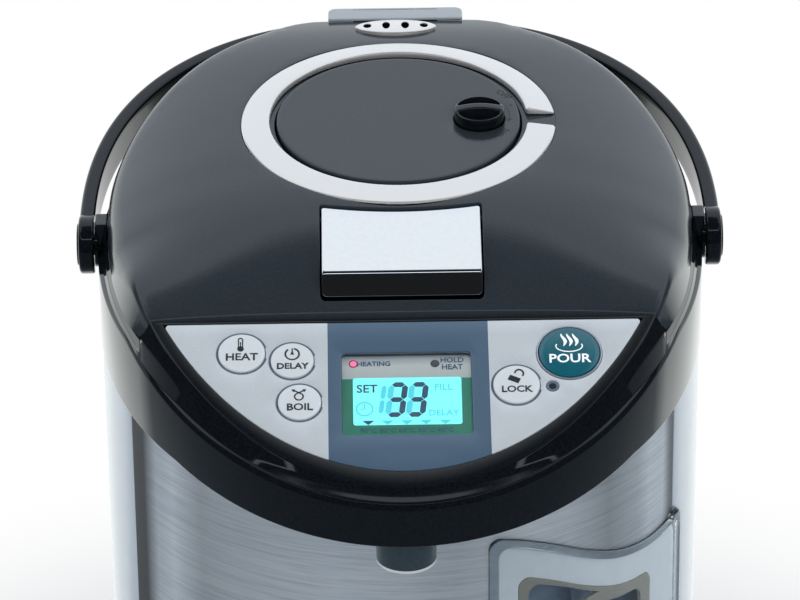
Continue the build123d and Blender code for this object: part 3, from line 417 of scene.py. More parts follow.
# ---- Works inside the pot -----------------------------------------------------------------------
# A deep-drawn steel pot in a felt jacket sits over its heater plate. An electric pump feeds the
# spout through silicone hoses. Silicone bellows in the lid, with a coil spring, pump by hand.
drawn_steel = surface("drawn_pot_steel", (0.60, 0.60, 0.60), 0.22, metallic=1.0, tint=0.04, spread=0.08,
                      grain=260, stretch=(1.0, 1.0, 0.1))
felt = surface("jacket_felt", (0.55, 0.54, 0.50), 0.95, tint=0.25, bump=0.0004, grain=500)
cast_metal = surface("cast_aluminium", (0.55, 0.56, 0.57), 0.42, metallic=1.0, tint=0.1, spread=0.1,
                     bump=0.00005, grain=420)
silicone = surface("hose_silicone", (0.62, 0.62, 0.58), 0.38, tint=0.05, spread=0.05, grain=240,
                   Subsurface_Weight=0.2)
nylon = surface("pump_nylon", (0.50, 0.50, 0.48), 0.45, tint=0.06, spread=0.05, grain=320)
green_board = surface("coated_board", (0.01, 0.10, 0.045), 0.35, tint=0.3, spread=0.05, grain=260)
plated_brass = surface("plated_brass", (0.66, 0.47, 0.20), 0.25, metallic=1.0, tint=0.05, spread=0.06,
                       grain=600)
sprung = surface("spring_wire", (0.48, 0.49, 0.50), 0.25, metallic=1.0, tint=0.05, spread=0.05, grain=700)
dress(drawn_steel, "inner_pot", "motor", "motor_rotor")
dress(felt, "insulation")
dress(cast_metal, "heater")
dress(silicone, "suction_pipe", "upper_hose", "spout_pipe", "lid_gasket", "tip_valve")
dress(nylon, "pump_housing", "impeller")
dress(green_board, "power_board", "control_board")
dress(plated_brass, "inlet_pins")
dress(moulded, "bellows_base")
ring_lean = 4.2
ring_frame = leaning((0, 15.0, 332.8), ring_lean)
foot, top, stroke_down = -39.0, -4.3, 16.0
fold_r, fold_depth, fold_wall, folds = 21.0, 3.0, 1.0, 5
coil_r, wire_r, coils, coil_low, coil_rise = 13.0, 1.0, 5, -37.7, 32.4
zigzag = np.array([(fold_r - fold_depth * (i % 2), foot + (top - foot) * i / (2 * folds))
                   for i in range(2 * folds + 1)])
zigzag = np.concatenate([zigzag, zigzag[::-1] - (fold_wall, 0.0)])
turn = np.linspace(0, 2 * np.pi * coils, 48 * coils + 1)[:, None]
round_wire = np.linspace(0, 2 * np.pi, 12, endpoint=False)
reach = coil_r + wire_r * np.cos(round_wire)
coil = ring_frame(np.stack([reach * np.cos(turn), reach * np.sin(turn),
                            coil_low + coil_rise * turn / turn[-1] + wire_r * np.sin(round_wire)], -1))
bellows = Piece().turned(zigzag, ring_frame).build(
    "bellows_skin", "lid", "silicone", silicone, "bellows", sharp=25.0)
spring = Piece().grid(coil, wrap=True).fan(coil[0]).fan(coil[-1]).build(
    "pump_spring_skin", "lid", "spring_steel", sprung, "pump_spring", sharp=60.0)
for made in (bellows, spring):
    tuple(ring_frame((0, 0, 1)) - ring_frame((0, 0, 0)))
    tuple(0.001 * ring_frame((0, 0, foot)))
    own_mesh(made)

# ---- Front and rear shells ----------------------------------------------------------------------
# The front of the body is a thin sheet of stainless steel, brushed round the pot. The rear cover
# is a pale pearl moulding that meets it in two upright seams.


def left_normals(loop):
    """Unit vectors to the left of a closed loop's direction of travel, from its neighbours' difference."""
    along = np.roll(loop, -1, 0) - np.roll(loop, 1, 0)
    along /= np.maximum(np.hypot(*along.T), 1e-9)[:, None]
    return np.stack([-along[:, 1], along[:, 0]], 1)


def evened(loop, step):
    """Closed loop resampled at about `step`, keeping its corners."""
    loop = np.asarray(loop, float)
    out = []
    for a, b in zip(loop, np.roll(loop, -1, 0)):
        n = max(1, int(round(np.hypot(*(b - a)) / step)))
        out.append(a + (b - a) * (np.arange(n) / n)[:, None])
    return np.concatenate(out)


def inside(points, loops):
    """Even-odd test: True where a ray from the point crosses the loops an odd number of times."""
    odd = np.zeros(len(points), bool)
    for a in loops:
        b = np.roll(a, -1, 0)
        for part in range(0, len(points), 4000):
            x, y = points[part:part + 4000].T[:, :, None]
            crosses = (a[:, 1] > y) != (b[:, 1] > y)
            with np.errstate(divide="ignore", invalid="ignore"):
                at = a[:, 0] + (y - a[:, 1]) / (b[:, 1] - a[:, 1]) * (b[:, 0] - a[:, 0])
            odd[part:part + 4000] ^= ((crosses & (x < at)).sum(1) % 2).astype(bool)
    return odd


def filled(loops, spacing, guides=()):
    """Triangles of the region between loops, with a lattice of points `spacing` apart inside it."""
    edged = list(loops) + list(guides)
    every = np.concatenate(edged)
    low, high = every.min(0), every.max(0)
    xs, ys = np.arange(low[0], high[0], spacing), np.arange(low[1], high[1], spacing * 0.866)
    lattice = np.stack(np.meshgrid(xs, ys), -1)
    lattice[1::2, :, 0] += spacing / 2
    lattice = lattice.reshape(-1, 2)
    lattice = lattice[inside(lattice, loops)]
    near = np.zeros(len(lattice), bool)
    for part in range(0, len(lattice), 2000):
        block = lattice[part:part + 2000]
        gaps = ((block[:, None] - every[None]) ** 2).sum(-1).min(1)
        near[part:part + 2000] = gaps < (0.62 * spacing) ** 2
    points = np.concatenate([every, lattice[~near]])
    edges, start = [], 0
    for loop in edged:
        n = len(loop)
        edges += [(start + i, start + (i + 1) % n) for i in range(n)]
        start += n
    out = delaunay_2d_cdt([Vector(p) for p in points], edges, [], 0, 1e-7, True)
    merged = np.array([o[0] if o else -1 for o in out[3]])
    flat = np.array([tuple(p) for p in out[0]])
    triangles = np.array([t for t in out[2] if len(t) == 3])
    keep = inside(flat[triangles].mean(1), loops)
    place = np.where(merged[:, None] >= 0, points[merged], flat)
    return place, triangles[keep]


def plate(piece, loops, skin, thickness, edge=0.3, spacing=4.0, guides=(), feet=None, wall=None,
          bottom=0.15, chart=False):
    """Sheet with rounded edges over a region.

    `loops` are closed outlines with the material on their left. skin(points, depth) places a plan
    point that lies depth below the top face. Each edge turns down by a quarter circle of radius
    `edge`, drops to the thickness (or to `feet`, a depth per point of the first loop), and turns in
    again; `wall` is then that skirt's own thickness.
    """
    insets, stacks = [], []
    for i, loop in enumerate(loops):
        radius = edge[i] if isinstance(edge, list) else edge
        radius = np.broadcast_to(radius, len(loop)).astype(float)[:, None]
        skirted = feet is not None and i == 0
        none = 0 * radius
        inner = np.maximum(radius, (wall + 0.1) if wall and i == 0 else bottom)
        rings = [(inner, none)]
        for turn in np.linspace(0, np.pi / 2, 6):
            rings.append((radius * (1 - np.sin(turn)), radius * (1 - np.cos(turn))))
        if skirted:
            foot = np.asarray(feet, float)[:, None]
            rings += [(none, foot), (none + wall, foot), (none + wall, none + thickness + 0.3)]
        else:
            rings += [(none, none + thickness - bottom), (none + bottom, none + thickness)]
        rings.append((inner, none + thickness))
        normals = left_normals(loop)
        stacks.append((loop, normals, rings))
        insets.append(loop + normals * inner)
    flat, triangles = filled(insets, spacing, guides)
    none = np.zeros(len(flat))
    piece.add(skin(flat, none), triangles, flat if chart else None)
    piece.add(skin(flat, none + thickness), triangles[:, ::-1], flat if chart else None)
    for loop, normals, rings in stacks:
        places = np.array([loop + normals * inset for inset, _ in rings])
        depths = np.array([depth[:, 0] + 0 * loop[:, 0] for _, depth in rings])
        solid = skin(places.reshape(-1, 2), depths.reshape(-1)).reshape(*places.shape[:2], 3)
        piece.grid(solid, wrap=True, chart=places if chart else None)
    return piece


def on_body(radius):
    """Places (arc length from the front, height) on the body's cylinder, sunk by the depth."""
    def skin(points, depth):
        a = points[:, 0] / body_r
        return np.stack([(radius - depth) * np.sin(a), -(radius - depth) * np.cos(a), points[:, 1]], 1)
    return skin


def on_plane(put, level=0.0):
    """Skin of a flat sheet whose face lies at a level of the frame."""
    return lambda points, depth: put(np.stack([points[:, 0], points[:, 1], level - depth], 1))


def hermite(knots, slopes, x):
    """Cubic through (place, height) knots: h00 y0 + h10 w s0 + h01 y1 + h11 w s1, s slopes, w the span."""
    i = np.clip(np.searchsorted(knots[:, 0], x) - 1, 0, len(knots) - 2)
    w = knots[i + 1, 0] - knots[i, 0]
    t = (x - knots[i, 0]) / w
    return ((2 * t**3 - 3 * t**2 + 1) * knots[i, 1] + (t**3 - 2 * t**2 + t) * w * slopes[i]
            + (3 * t**2 - 2 * t**3) * knots[i + 1, 1] + (t**3 - t**2) * w * slopes[i + 1])


body_r, collar_z = 107.2, 262.0
shell_low, shell_top = 33.1, 261.9
steel_t, cover_t = 0.8, 2.5
seam = body_r * math.radians(63.2)
crest = np.array([(15.4, -33.0), (21.7, -36.0), (29.1, -41.6), (36.4, -48.4), (43.8, -54.0), (52.2, -56.8),
                  (60.6, -56.2), (68.0, -54.6)])
crest_slopes = np.gradient(crest[:, 1], crest[:, 0])


def window_outline(inset, start=15.4, end=65.6, corner=7.0):
    """Level window's outline in (arc length, height): straight sides and foot, a falling wavy top."""
    reach = np.degrees(inset / body_r)
    a = np.linspace(start + reach, end - reach, 40)
    top = np.stack([np.radians(a) * body_r, collar_z + hermite(crest, crest_slopes, a) - inset], 1)
    low = 87.0 + inset
    points = np.concatenate([top[::-1], [[top[0, 0], low], [top[-1, 0], low]]])
    radii = np.zeros(len(points))
    radii[[0, len(top) - 1, len(top), len(top) + 1]] = max(corner - inset / 2, 1.5)
    away = np.minimum(np.hypot(*(points - points[0]).T), np.hypot(*(points - points[len(top) - 1]).T)) > 9
    kept = (radii > 0) | away
    return soft_corners(points[kept], radii[kept], steps=8)


def brush_lines(tree, uv, scale, detail, roughness):
    """Noise drawn out along the sheet, by waves per metre along it and up it."""
    stretched = node(tree, "Mapping", Vector=uv, Scale=scale).outputs[0]
    return node(tree, "TexNoise", Vector=stretched, Scale=1.0, Detail=detail, Roughness=roughness).outputs[0]


steel = bpy.data.materials.new("brushed_stainless_steel")
steel.use_nodes = True
tree = steel.node_tree
shader = tree.nodes["Principled BSDF"].inputs
shader["Metallic"].default_value = 0.62
shader["Anisotropic"].default_value = 0.8
uv = node(tree, "UVMap", uv_map="unrolled").outputs[0]
fine_lines = brush_lines(tree, uv, (36.0, 1150.0, 1.0), 5.0, 0.65)
long_lines = brush_lines(tree, uv, (9.0, 420.0, 1.0), 3.0, 0.5)
both = maths(tree, "MULTIPLY_ADD", fine_lines, 0.65, maths(tree, "MULTIPLY", long_lines, 0.35))
half_sheet = 0.1183
unrolled = node(tree, "SeparateXYZ", i0=uv).outputs["X"]
sideways = maths(tree, "MULTIPLY_ADD", unrolled, 0.5 / half_sheet, 0.5)
# Painted reflections: bright upright bands across the sheet and dark ends by its seams, set in the colour by
# the sheet's width.
painted_reflection_bands = ramp(tree, sideways, [
    (0.0, 0.10), (0.035, 0.14), (0.07, 0.80), (0.11, 1.0), (0.17, 0.66), (0.23, 0.78), (0.315, 0.90),
    (0.395, 1.0), (0.50, 0.92), (0.575, 0.82), (0.685, 1.0), (0.755, 0.90), (0.83, 0.56), (0.895, 0.76),
    (0.925, 1.0), (0.965, 0.95), (0.985, 0.35), (1.0, 0.16)])
steel_tone = ramp(tree, both, [
    (0.36, (0.60, 0.67, 0.75)), (0.5, (0.77, 0.84, 0.92)), (0.66, (0.90, 0.96, 1.0))])
tone_with_painted_bands = node(tree, "VectorMath", operation="SCALE", i0=steel_tone, Scale=painted_reflection_bands).outputs[0]
tree.links.new(tone_with_painted_bands, shader["Base Color"])
tree.links.new(maths(tree, "MULTIPLY_ADD", both, 0.22, 0.30, clamp=True), shader["Roughness"])
tree.links.new(node(tree, "Bump", Strength=0.6, Distance=0.00004, Height=both).outputs[0], shader["Normal"])
grain_way = node(tree, "Tangent", direction_type="UV_MAP", uv_map="unrolled").outputs[0]
tree.links.new(grain_way, shader["Tangent"])

window_hole = window_outline(4.0)
notch = window_hole[window_hole[:, 0] < seam - 0.5]
middle_h = 150
upper = notch[notch[:, 1] > middle_h]
upper = upper[np.argsort(upper[:, 0])]
lower = notch[notch[:, 1] <= middle_h]
lower = lower[np.argsort(lower[:, 0])[::-1]]
outline = np.concatenate([[[-seam, shell_low], [seam, shell_low], [seam, lower[0, 1]]], lower, upper,
                          [[seam, upper[-1, 1]], [seam, shell_top], [-seam, shell_top]]])
front_shell = plate(Piece(), [evened(outline, 2.5)], on_body(body_r), steel_t, edge=0.3, spacing=5.0,
                    chart=True)
front_shell.build("front_shell_skin", "pot", "brushed_steel", steel, "outer_shell_front", chart="unrolled")

pearl = surface("pearl_cover_plastic", (0.42, 0.48, 0.55), 0.20, tint=0.03, spread=0.03, bump=0.00001,
                grain=1500, Coat_Weight=0.25, Coat_Roughness=0.08)
cover_from, cover_to = seam + 0.35, 2 * math.pi * body_r - seam
gulf = body_r * math.radians(67.2)
gulf_low, gulf_top = 85.0, collar_z - 55.0
rear_outline = soft_corners([(cover_from, shell_low), (cover_to, shell_low), (cover_to, shell_top),
                             (cover_from, shell_top), (cover_from, gulf_top + 0.5),
                             (gulf, gulf_top - 5.0), (gulf, gulf_low), (cover_from, gulf_low)],
                            [0, 0, 0, 0, 0, 5.5, 5.5, 0], steps=8)
rear_shell = plate(Piece(), [evened(rear_outline, 3.0)], on_body(body_r), cover_t, edge=0.5, spacing=9.0)
rear_shell.build("rear_cover_skin", "pot", "pearl_plastic", pearl, "outer_shell_rear")
recess = soft_corners([(seam - 6.0, gulf_low - 1.0), (gulf + 2.0, gulf_low - 1.0),
                       (gulf + 2.0, gulf_top + 1.0), (seam - 6.0, gulf_top + 6.0)], [1, 6, 6, 1])
recess_floor = plate(Piece(), [evened(recess, 3.0)], on_body(body_r - 2.0), 1.0, edge=0.2, spacing=8.0)
recess_floor.build("window_recess_floor", "pot", "pearl_plastic", pearl)

# ---- Water level window -------------------------------------------------------------------------
# A thick clear moulding with a polished raised rim. Behind it lies a pale scale plate with a beige
# printed line round its opening, and in that opening stands the clear gauge tube.
window_clear = surface("window_acrylic", (0.93, 0.96, 0.98), 0.03, tint=0.01, grain=200, IOR=1.47,
                       Transmission_Weight=1.0)
window_r, rim_r, scale_r = 108.1, 109.2, 106.2
window_loop = evened(window_outline(0.3), 2.0)
rim_loops = [evened(window_outline(0.0), 1.2), evened(window_outline(3.3), 1.2)[::-1]]
window_piece = plate(Piece(), [window_loop], on_body(window_r), 0.85, edge=0.2, spacing=6.0)
plate(window_piece, rim_loops, on_body(rim_r), 1.9, edge=1.3, spacing=1.0, bottom=0.3)
window_made = window_piece.build("level_window_clear", "pot", "clear_window", window_clear, "level_window")
window_made.visible_shadow = False
# The plate's faint glow and its raised pale colour are painted light that brightens it behind the window.
scale_paint_with_glow = surface("scale_plate", (0.78, 0.84, 0.89), 0.32, tint=0.03, spread=0.05, grain=300,
                      Emission_Color=(0.7, 0.8, 0.9, 1), Emission_Strength=0.15)
beige = surface("beige_print", (0.42, 0.42, 0.37), 0.5, tint=0.06, grain=700)


def scale_opening(inset):
    """Opening of the scale plate, which follows the window's wavy top; on the right it is inset more."""
    a = np.linspace(21.5, 55.0, 26)
    top = np.stack([np.radians(a) * body_r, collar_z + hermite(crest, crest_slopes, a) - 15.4 - inset], 1)
    points = np.concatenate([top[::-1], [[top[0, 0], 104.0 + inset], [top[-1, 0], 104.0 + inset]]])
    points[:, 0] += np.where(points[:, 0] > np.mean(points[[0, -2], 0]), -1.6 * inset, inset)
    corner = np.isin(np.arange(len(points)), [0, len(top) - 1, len(top), len(top) + 1])
    right, left = points[0, 0], points[len(top) - 1, 0]
    kept = corner | (np.minimum(np.abs(points[:, 0] - right), np.abs(points[:, 0] - left)) > 9)
    return soft_corners(points[kept], np.where(corner[kept], 9.0, 0), steps=8)


scale_plate = plate(Piece(), [evened(window_outline(2.2), 2.5), evened(scale_opening(0.0), 2.0)[::-1]],
                    on_body(scale_r), 1.0, edge=0.2, spacing=5.0)
scale_plate.build("scale_plate", "pot", "gauge_print", scale_paint_with_glow)
scale_line = plate(Piece(), [evened(scale_opening(0.2), 2.0), evened(scale_opening(3.9), 2.0)[::-1]],
                   on_body(scale_r + 0.1), 1.4, edge=0.05, spacing=3.0, bottom=0.05)
scale_line.build("scale_line", "pot", "gauge_print", beige)
dress(surface("gauge_well", (0.30, 0.40, 0.53), 0.4, tint=0.1, grain=160), "gauge_backplate")
tube_clear = surface("gauge_tube", (0.80, 0.88, 0.96), 0.04, tint=0.02, grain=120, IOR=1.45,
                     Transmission_Weight=0.9)
dress(tube_clear, "gauge_tube")

# ---- Collar, beak underside and latch -----------------------------------------------------------
# One gloss black moulding closes the top of the body and reaches forward as the spout's beak. A
# rolled ridge runs all round it; above that a band leans in to the lid or up to the panel.
gloss_black = surface("gloss_black_plastic", (0.0025, 0.004, 0.006), 0.05, tint=0.2, spread=0.02,
                      bump=0.0000015, grain=1200, IOR=1.5, Specular_IOR_Level=0.42)
egg_r, egg_front, chord_y = 107.5, 152.0, -81.0
panel_lean, panel_slope = 24.3, 0.4515
panel_cos = math.cos(math.radians(panel_lean))
share = np.linspace(0, 1, 181)


def egg(inset, share, front, ahead=None):
    """Points of the collar's outline moved inwards, between the chord's ends, at shares of the way.

    In front: x = a cos u, y = b sin u with u past the chord; else round the rear, where b is a.
    `ahead` moves the beak's tip inwards by its own amount.
    """
    a, b = egg_r - inset, egg_front - (inset if ahead is None else ahead)
    u0 = np.arcsin(-chord_y / b)
    u = -math.pi + u0 + (math.pi - 2 * u0) * share if front else -u0 + (math.pi + 2 * u0) * share
    return np.stack([a * np.cos(u), np.where(np.sin(u) < 0, b, a) * np.sin(u)], 1)


def at(inset, height, front, ahead=None):
    """Row of points at an inset; the height is a function of y."""
    plan = egg(inset, share, front, ahead)
    return np.column_stack([plan, collar_z + height(plan[:, 1])])


def low_h(y):
    """Collar's lower edge, which falls under the beak."""
    return 0.145 * np.minimum(y + 103.9, 0)


def ridge_h(y, rise=0.0):
    """Height of the ridge: level at the sides, climbing to the hinge, falling towards the spout."""
    return 29.0 + 0.225 * np.maximum(y - 10, 0) + 0.2515 * np.minimum(y + 69.9, 0) + rise


def skirt_h(y):
    """Height at which the collar's leaning band meets the lid."""
    return 34.0 + 0.225 * np.maximum(y - 10, 0)


def panel_h(depth):
    """Height of the panel plane lowered square to itself."""
    return lambda y: 41.6 + panel_slope * (y + 80.0) - depth / panel_cos


def smooth(t):
    """Smooth step: 3 t^2 - 2 t^3 of t held between 0 and 1."""
    t = np.clip(t, 0, 1)
    return t * t * (3 - 2 * t)


def raised(rise):
    """The ridge's height and a constant, as a function of y."""
    return lambda y: ridge_h(y, rise)


def band_row(part, rise):
    """Row on the leaning band: a share of its width in from the wall and of its rise above the ridge."""
    row = at(0, ridge_h, False) + inward * (side_in * part)[:, None]
    row[:, 2] += rise * (skirt_h(outer[:, 1]) - ridge_h(outer[:, 1]))
    return row


def knee_h(y):
    """Height of the bevel's knee: beside the lid it meets the lid's foot, in front it lies halfway."""
    return (1 - way_in) * (skirt_h(y) + 0.2) + way_in * (ridge_h(y) + panel_h(0)(y)) / 2


def rolled(rows, radii, steps=5):
    """Rows with each corner c replaced by c + (1-t)^2 a + t^2 b, a and b its reach to the neighbours."""
    out = []
    n = len(rows)
    for i, radius in enumerate(radii):
        here = rows[i]
        back, ahead = rows[i - 1] - here, rows[(i + 1) % n] - here
        back *= np.minimum(radius / np.linalg.norm(back, axis=1)[:, None], 0.48)
        ahead *= np.minimum(radius / np.linalg.norm(ahead, axis=1)[:, None], 0.48)
        out += [here + (1 - t) ** 2 * back + t * t * ahead for t in np.linspace(0, 1, steps)]
    return np.stack(out)


outer = egg(0, share, False)
inward = np.column_stack([-outer / np.hypot(*outer.T)[:, None], np.zeros(len(outer))])
side_in = 1.0 + 2.6 * np.clip((outer[:, 1] - chord_y) / 50, 0, 1)
way_in = smooth((chord_y - egg(0, share, True)[:, 1]) / 26)
knee = 0.9 * (1 - way_in) + 2.5 * way_in
rim_rows = [at(0, low_h, False), at(0, raised(-1.0), False),
            band_row(0.34, 0.04), band_row(0.42, 0.07), band_row(0.62, 0.52), band_row(0.66, 0.53),
            band_row(1.0, 1.0),
            at(6.0, lambda y: skirt_h(y) - 0.3, False), at(9.0, lambda y: skirt_h(y) - 0.3, False),
            at(9.0, raised(1.0), False), at(3.6, raised(-1.0), False), at(3.0, lambda y: 0 * y, False)]
beak_rows = [at(0, low_h, True), at(0, raised(-1.0), True), at(0.4 + 0.7 * way_in, raised(0.5), True),
             at(0.5 + 1.2 * way_in, raised(0.8), True), at(knee, knee_h, True, ahead=knee + 1.8 * way_in)]
for inset, depth, ahead in ((3.3, 0, 7.0), (5.95, 0, 13.0), (5.95, 2.0, 13.0), (8.1, 2.0, 15.2),
                            (8.1, 4.0, 15.2), (5.0, 7.5, 10.0)):
    beak_rows.append(at(inset, panel_h(depth), True, ahead))
beak_rows.append(at(3.0, low_h, True))
corner_reach = [0.5, 0.5, 0.3, 0.35, 1.2, 0.6, 0.25, 0.2, 0.2, 0.3, 0.4, 0.2]
hoop = np.concatenate([rolled(rim_rows, corner_reach), rolled(beak_rows, corner_reach)], 1)
collar = Piece().grid(closed(hoop), wrap=True)
chord_wall = soft_corners([(-84.0, 282.0), (-81.0, 282.0), (-81.0, 303.15), (-82.0, 302.7), (-82.0, 300.5),
                           (-84.0, 299.0)], [0, 0, 0.5, 0.1, 0.1, 0.1])
half_chord = egg_r * math.sqrt(1 - (chord_y / egg_front) ** 2) - 6.5


def across_x(x0):
    """Skin of a plate that lies across the x axis: its plan is (y, z) and its depth runs to the right."""
    return lambda points, depth: np.stack([x0 + depth, points[:, 0], points[:, 1]], 1)


plate(collar, [evened(chord_wall, 2.0)], across_x(-half_chord), 2 * half_chord, edge=0.05, spacing=3.0,
      bottom=0.05)
mouth_r, deck_z, deck_t = 64.0, 282.8, 3.0
deck_loops = [evened(egg(2.0, share, False), 4.0), circle(mouth_r, steps=96)[::-1]]
plate(collar, deck_loops, on_plane(upright(), deck_z), deck_t, edge=0.4, spacing=8.0)
pad_x, pad_top, pad_h = 106.2, 301.0, 8.0
for side in (-1, 1):
    pivot_pad = evened(soft_box(side * pad_x - 2.1, -4.5, side * pad_x + 2.1, 4.5, 0.5), 1.2)
    plate(collar, [pivot_pad], on_plane(upright(), pad_top), pad_h, edge=0.5, spacing=1.5)
collar.build("collar_skin", "pot", "gloss_black", gloss_black, "collar")
dress(gloss_black, "handle_pivots")
dress(moulded, "beak_underside", "latch_bolt", "lid_underside")

# ---- Spout --------------------------------------------------------------------------------------
# A smoky gloss tube hangs under the beak; its lower rim is rounded, and its pale colour is a painted
# highlight.
smoky = surface("smoky_gloss_plastic", (0.030, 0.045, 0.058), 0.06, tint=0.1, spread=0.02, grain=600,
                Coat_Weight=0.3)
# The rim's pale colour is a painted highlight.
rim_painted_highlight = surface("spout_rim_painted_highlight", (0.72, 0.76, 0.78), 0.12, tint=0.03, grain=500, Metallic=0.2)
spout_bore, spout_r, spout_y = 8.35, 10.35, -128.0
for name, low, high, radii, material, replaced in (
        ("spout_skin", 237.3, 265.5, [0.1, 0.1, 0.2, 0.2], smoky, "nozzle"),
        ("spout_rim", 236.0, 237.28, [0.6, 0.7, 0.05, 0.05], rim_painted_highlight, ())):
    tube = soft_box(spout_bore, low, spout_r, high, radii)
    Piece().turned(tube, upright(0, spout_y)).build(name, "pot", "smoky_plastic", material, replaced)

# ---- Control panel ------------------------------------------------------------------------------
# The fascia is a silver-painted plate set into the beak, with a blue printed band from edge to
# edge behind the display. Its openings take the display, five buttons and a lamp.
panel = leaning((0, -80.0, 303.6), panel_lean)
buttons = {"temp_button": (-55.0, -15.0, 8.0), "timer_button": (-37.8, -18.4, 7.35),
           "reboil_button": (-35.4, -35.9, 7.35), "unlock_button": (38.0, -29.8, 7.95),
           "dispense_button": (56.3, -16.6, 10.4)}
fascia_across, fascia_front, fascia_back = 101.35, 138.85, 82.05
u = math.asin(fascia_back / fascia_front)
turns = np.linspace(math.pi - u, u, 64)
fascia_edge = np.stack([fascia_across * np.cos(turns),
                        (-fascia_front * np.sin(turns) + 80.0) / panel_cos], 1)
fascia_outline = soft_corners(fascia_edge, [1.4] + [0] * (len(fascia_edge) - 2) + [1.4])
openings = [evened(soft_box(-21.1, -49.6, 22.9, -15.3, 1.6), 2.5)]
openings += [circle(r + (0.82 if r > 9 else 0.18), x, s) for x, s, r in buttons.values()]
lamp_spot = (50.2, -30.3)
openings.append(circle(2.25, *lamp_spot, 28))
silver = surface("silver_fascia_paint", (0.56, 0.61, 0.65), 0.26, tint=0.03, spread=0.04, bump=0.000002,
                 grain=2500, Metallic=0.25, Coat_Weight=0.2)
band_left, band_right, blue = -0.0264, 0.0289, (0.075, 0.13, 0.20, 1)
tree = silver.node_tree
tone = tree.nodes["Principled BSDF"].inputs["Base Color"]
place = node(tree, "SeparateXYZ", i0=node(tree, "TexCoord").outputs["Object"]).outputs["X"]
across = maths(tree, "MULTIPLY_ADD", place, 5.0, 0.5)
band_stops = [(0.0, 0.0), (0.5 + 5 * band_left, 1.0), (0.5 + 5 * band_right, 0.0)]
blue_zone = ramp(tree, across, band_stops, "CONSTANT")
paint = node(tree, "Mix", data_type="RGBA", i0=blue_zone, i6=tone.links[0].from_socket, i7=blue)
tree.links.new(paint.outputs[2], tone)
fascia_loops = [evened(fascia_outline, 2.5)] + [loop[::-1] for loop in openings]
fascia = plate(Piece(), fascia_loops, on_plane(panel), 1.95, edge=0.4, spacing=5.0)
fascia.build("panel_fascia_skin", "pot", "silver_panel", silver, "panel_fascia")

# ---- Display ------------------------------------------------------------------------------------
# A clear lens lies flush in the fascia. Under it a printed mask, grey along the top and green
# round the display cell, the grey darkening to its top edge as painted shade under the opening's
# rim, and the cell with its digits; the plastic block below holds the glass.


def slab(piece, loop, put, low, high):
    """Thin prism over a convex outline."""
    loop = np.asarray(loop, float)
    rings = [put(np.column_stack([loop, np.full(len(loop), level)])) for level in (low, high)]
    return piece.grid(np.stack(rings), wrap=True).fan(rings[1]).fan(rings[0])


def stroke(piece, path, width, put, low, high, loop=False):
    """Thin ribbon of a width along a path in the frame's plane."""
    path = np.asarray(path, float)
    along = np.gradient(path, axis=0) if not loop else np.roll(path, -1, 0) - np.roll(path, 1, 0)
    along /= np.hypot(*along.T)[:, None]
    side = np.stack([-along[:, 1], along[:, 0]], 1) * width / 2
    rows = [np.column_stack([path + sign * side, np.full(len(path), level)])
            for sign, level in ((1, high), (-1, high), (-1, low), (1, low))]
    solid = put(closed(np.stack(rows)))
    piece.grid(solid, wrap=loop)
    if not loop:
        for end in (0, -1):
            piece.add(solid[:4, end], [[0, 1, 2, 3]])
    return piece


def arc(radius, start, stop, x=0.0, y=0.0, steps=24, squash=1.0):
    """Points along an arc, in degrees."""
    a = np.radians(np.linspace(start, stop, steps))
    return np.stack([x + radius * np.cos(a), y + radius * squash * np.sin(a)], 1)


lens = surface("display_lens", (1.0, 1.0, 1.0), 0.02, tint=0.01, grain=100, IOR=1.12,
               Transmission_Weight=1.0)
lens_loop = evened(soft_box(-21.0, -49.5, 22.8, -15.4, 1.5), 3.0)
lens_made = plate(Piece(), [lens_loop], on_plane(panel), 1.5, edge=0.25, spacing=9.0).build(
    "display_lens", "pot", "display_window", lens, "lcd_lens")
lens_made.visible_shadow = False
green = (0.004, 0.15, 0.095)
mask_paint = surface("display_mask_print_and_shade", green, 0.5, tint=0.04, grain=300)
tree = mask_paint.node_tree
place = node(tree, "SeparateXYZ", i0=node(tree, "TexCoord").outputs["Object"]).outputs["Y"]
# Green and grey are print; the grey darkens to the mask's top edge as painted shade under the opening's rim.
mask_print_and_shade = ramp(tree, maths(tree, "MULTIPLY_ADD", place, 40.0, 4.4), [
    (0.0, green), (0.305, green), (0.311, (0.34, 0.39, 0.40)), (0.50, (0.40, 0.45, 0.45)),
    (0.60, (0.25, 0.29, 0.31)), (0.66, (0.09, 0.11, 0.13))])
tree.links.new(mask_print_and_shade, tree.nodes["Principled BSDF"].inputs["Base Color"])
slab(Piece(), soft_box(-20.9, -49.3, 22.7, -15.5, 1.2), panel, -1.78, -1.70).build(
    "display_mask", "pot", "lcd_cell", mask_paint)
block_loop = evened(soft_box(-19.1, -48.5, 20.9, -25.5, 0.8), 4.0)
plate(Piece(), [block_loop], on_plane(panel, -1.85), 5.0, edge=0.3, spacing=8.0).build(
    "display_block", "pot", "black_plastic", moulded, "lcd_module")
cell_paint = surface("display_cell", (0.16, 0.84, 0.84), 0.4, tint=0.03, grain=150,
                     Emission_Color=(0.25, 0.95, 0.95, 1), Emission_Strength=0.28)
slab(Piece(), soft_box(-17.35, -44.6, 19.4, -24.9, 0.9), panel, -1.69, -1.65).build(
    "display_cell", "pot", "lcd_cell", cell_paint)
ink = surface("display_ink", (0.004, 0.045, 0.11), 0.4, tint=0.1, grain=300)
ghost_ink = surface("display_idle_segments", (0.06, 0.56, 0.66), 0.4, tint=0.03, grain=300,
                    Emission_Color=(0.06, 0.60, 0.72, 1), Emission_Strength=0.2)
SEGMENTS = {"a": (0, 1, 1, 1), "b": (1, 1, 1, 0.5), "c": (1, 0.5, 1, 0), "d": (0, 0, 1, 0),
            "e": (0, 0.5, 0, 0), "f": (0, 1, 0, 0.5), "g": (0, 0.5, 1, 0.5)}


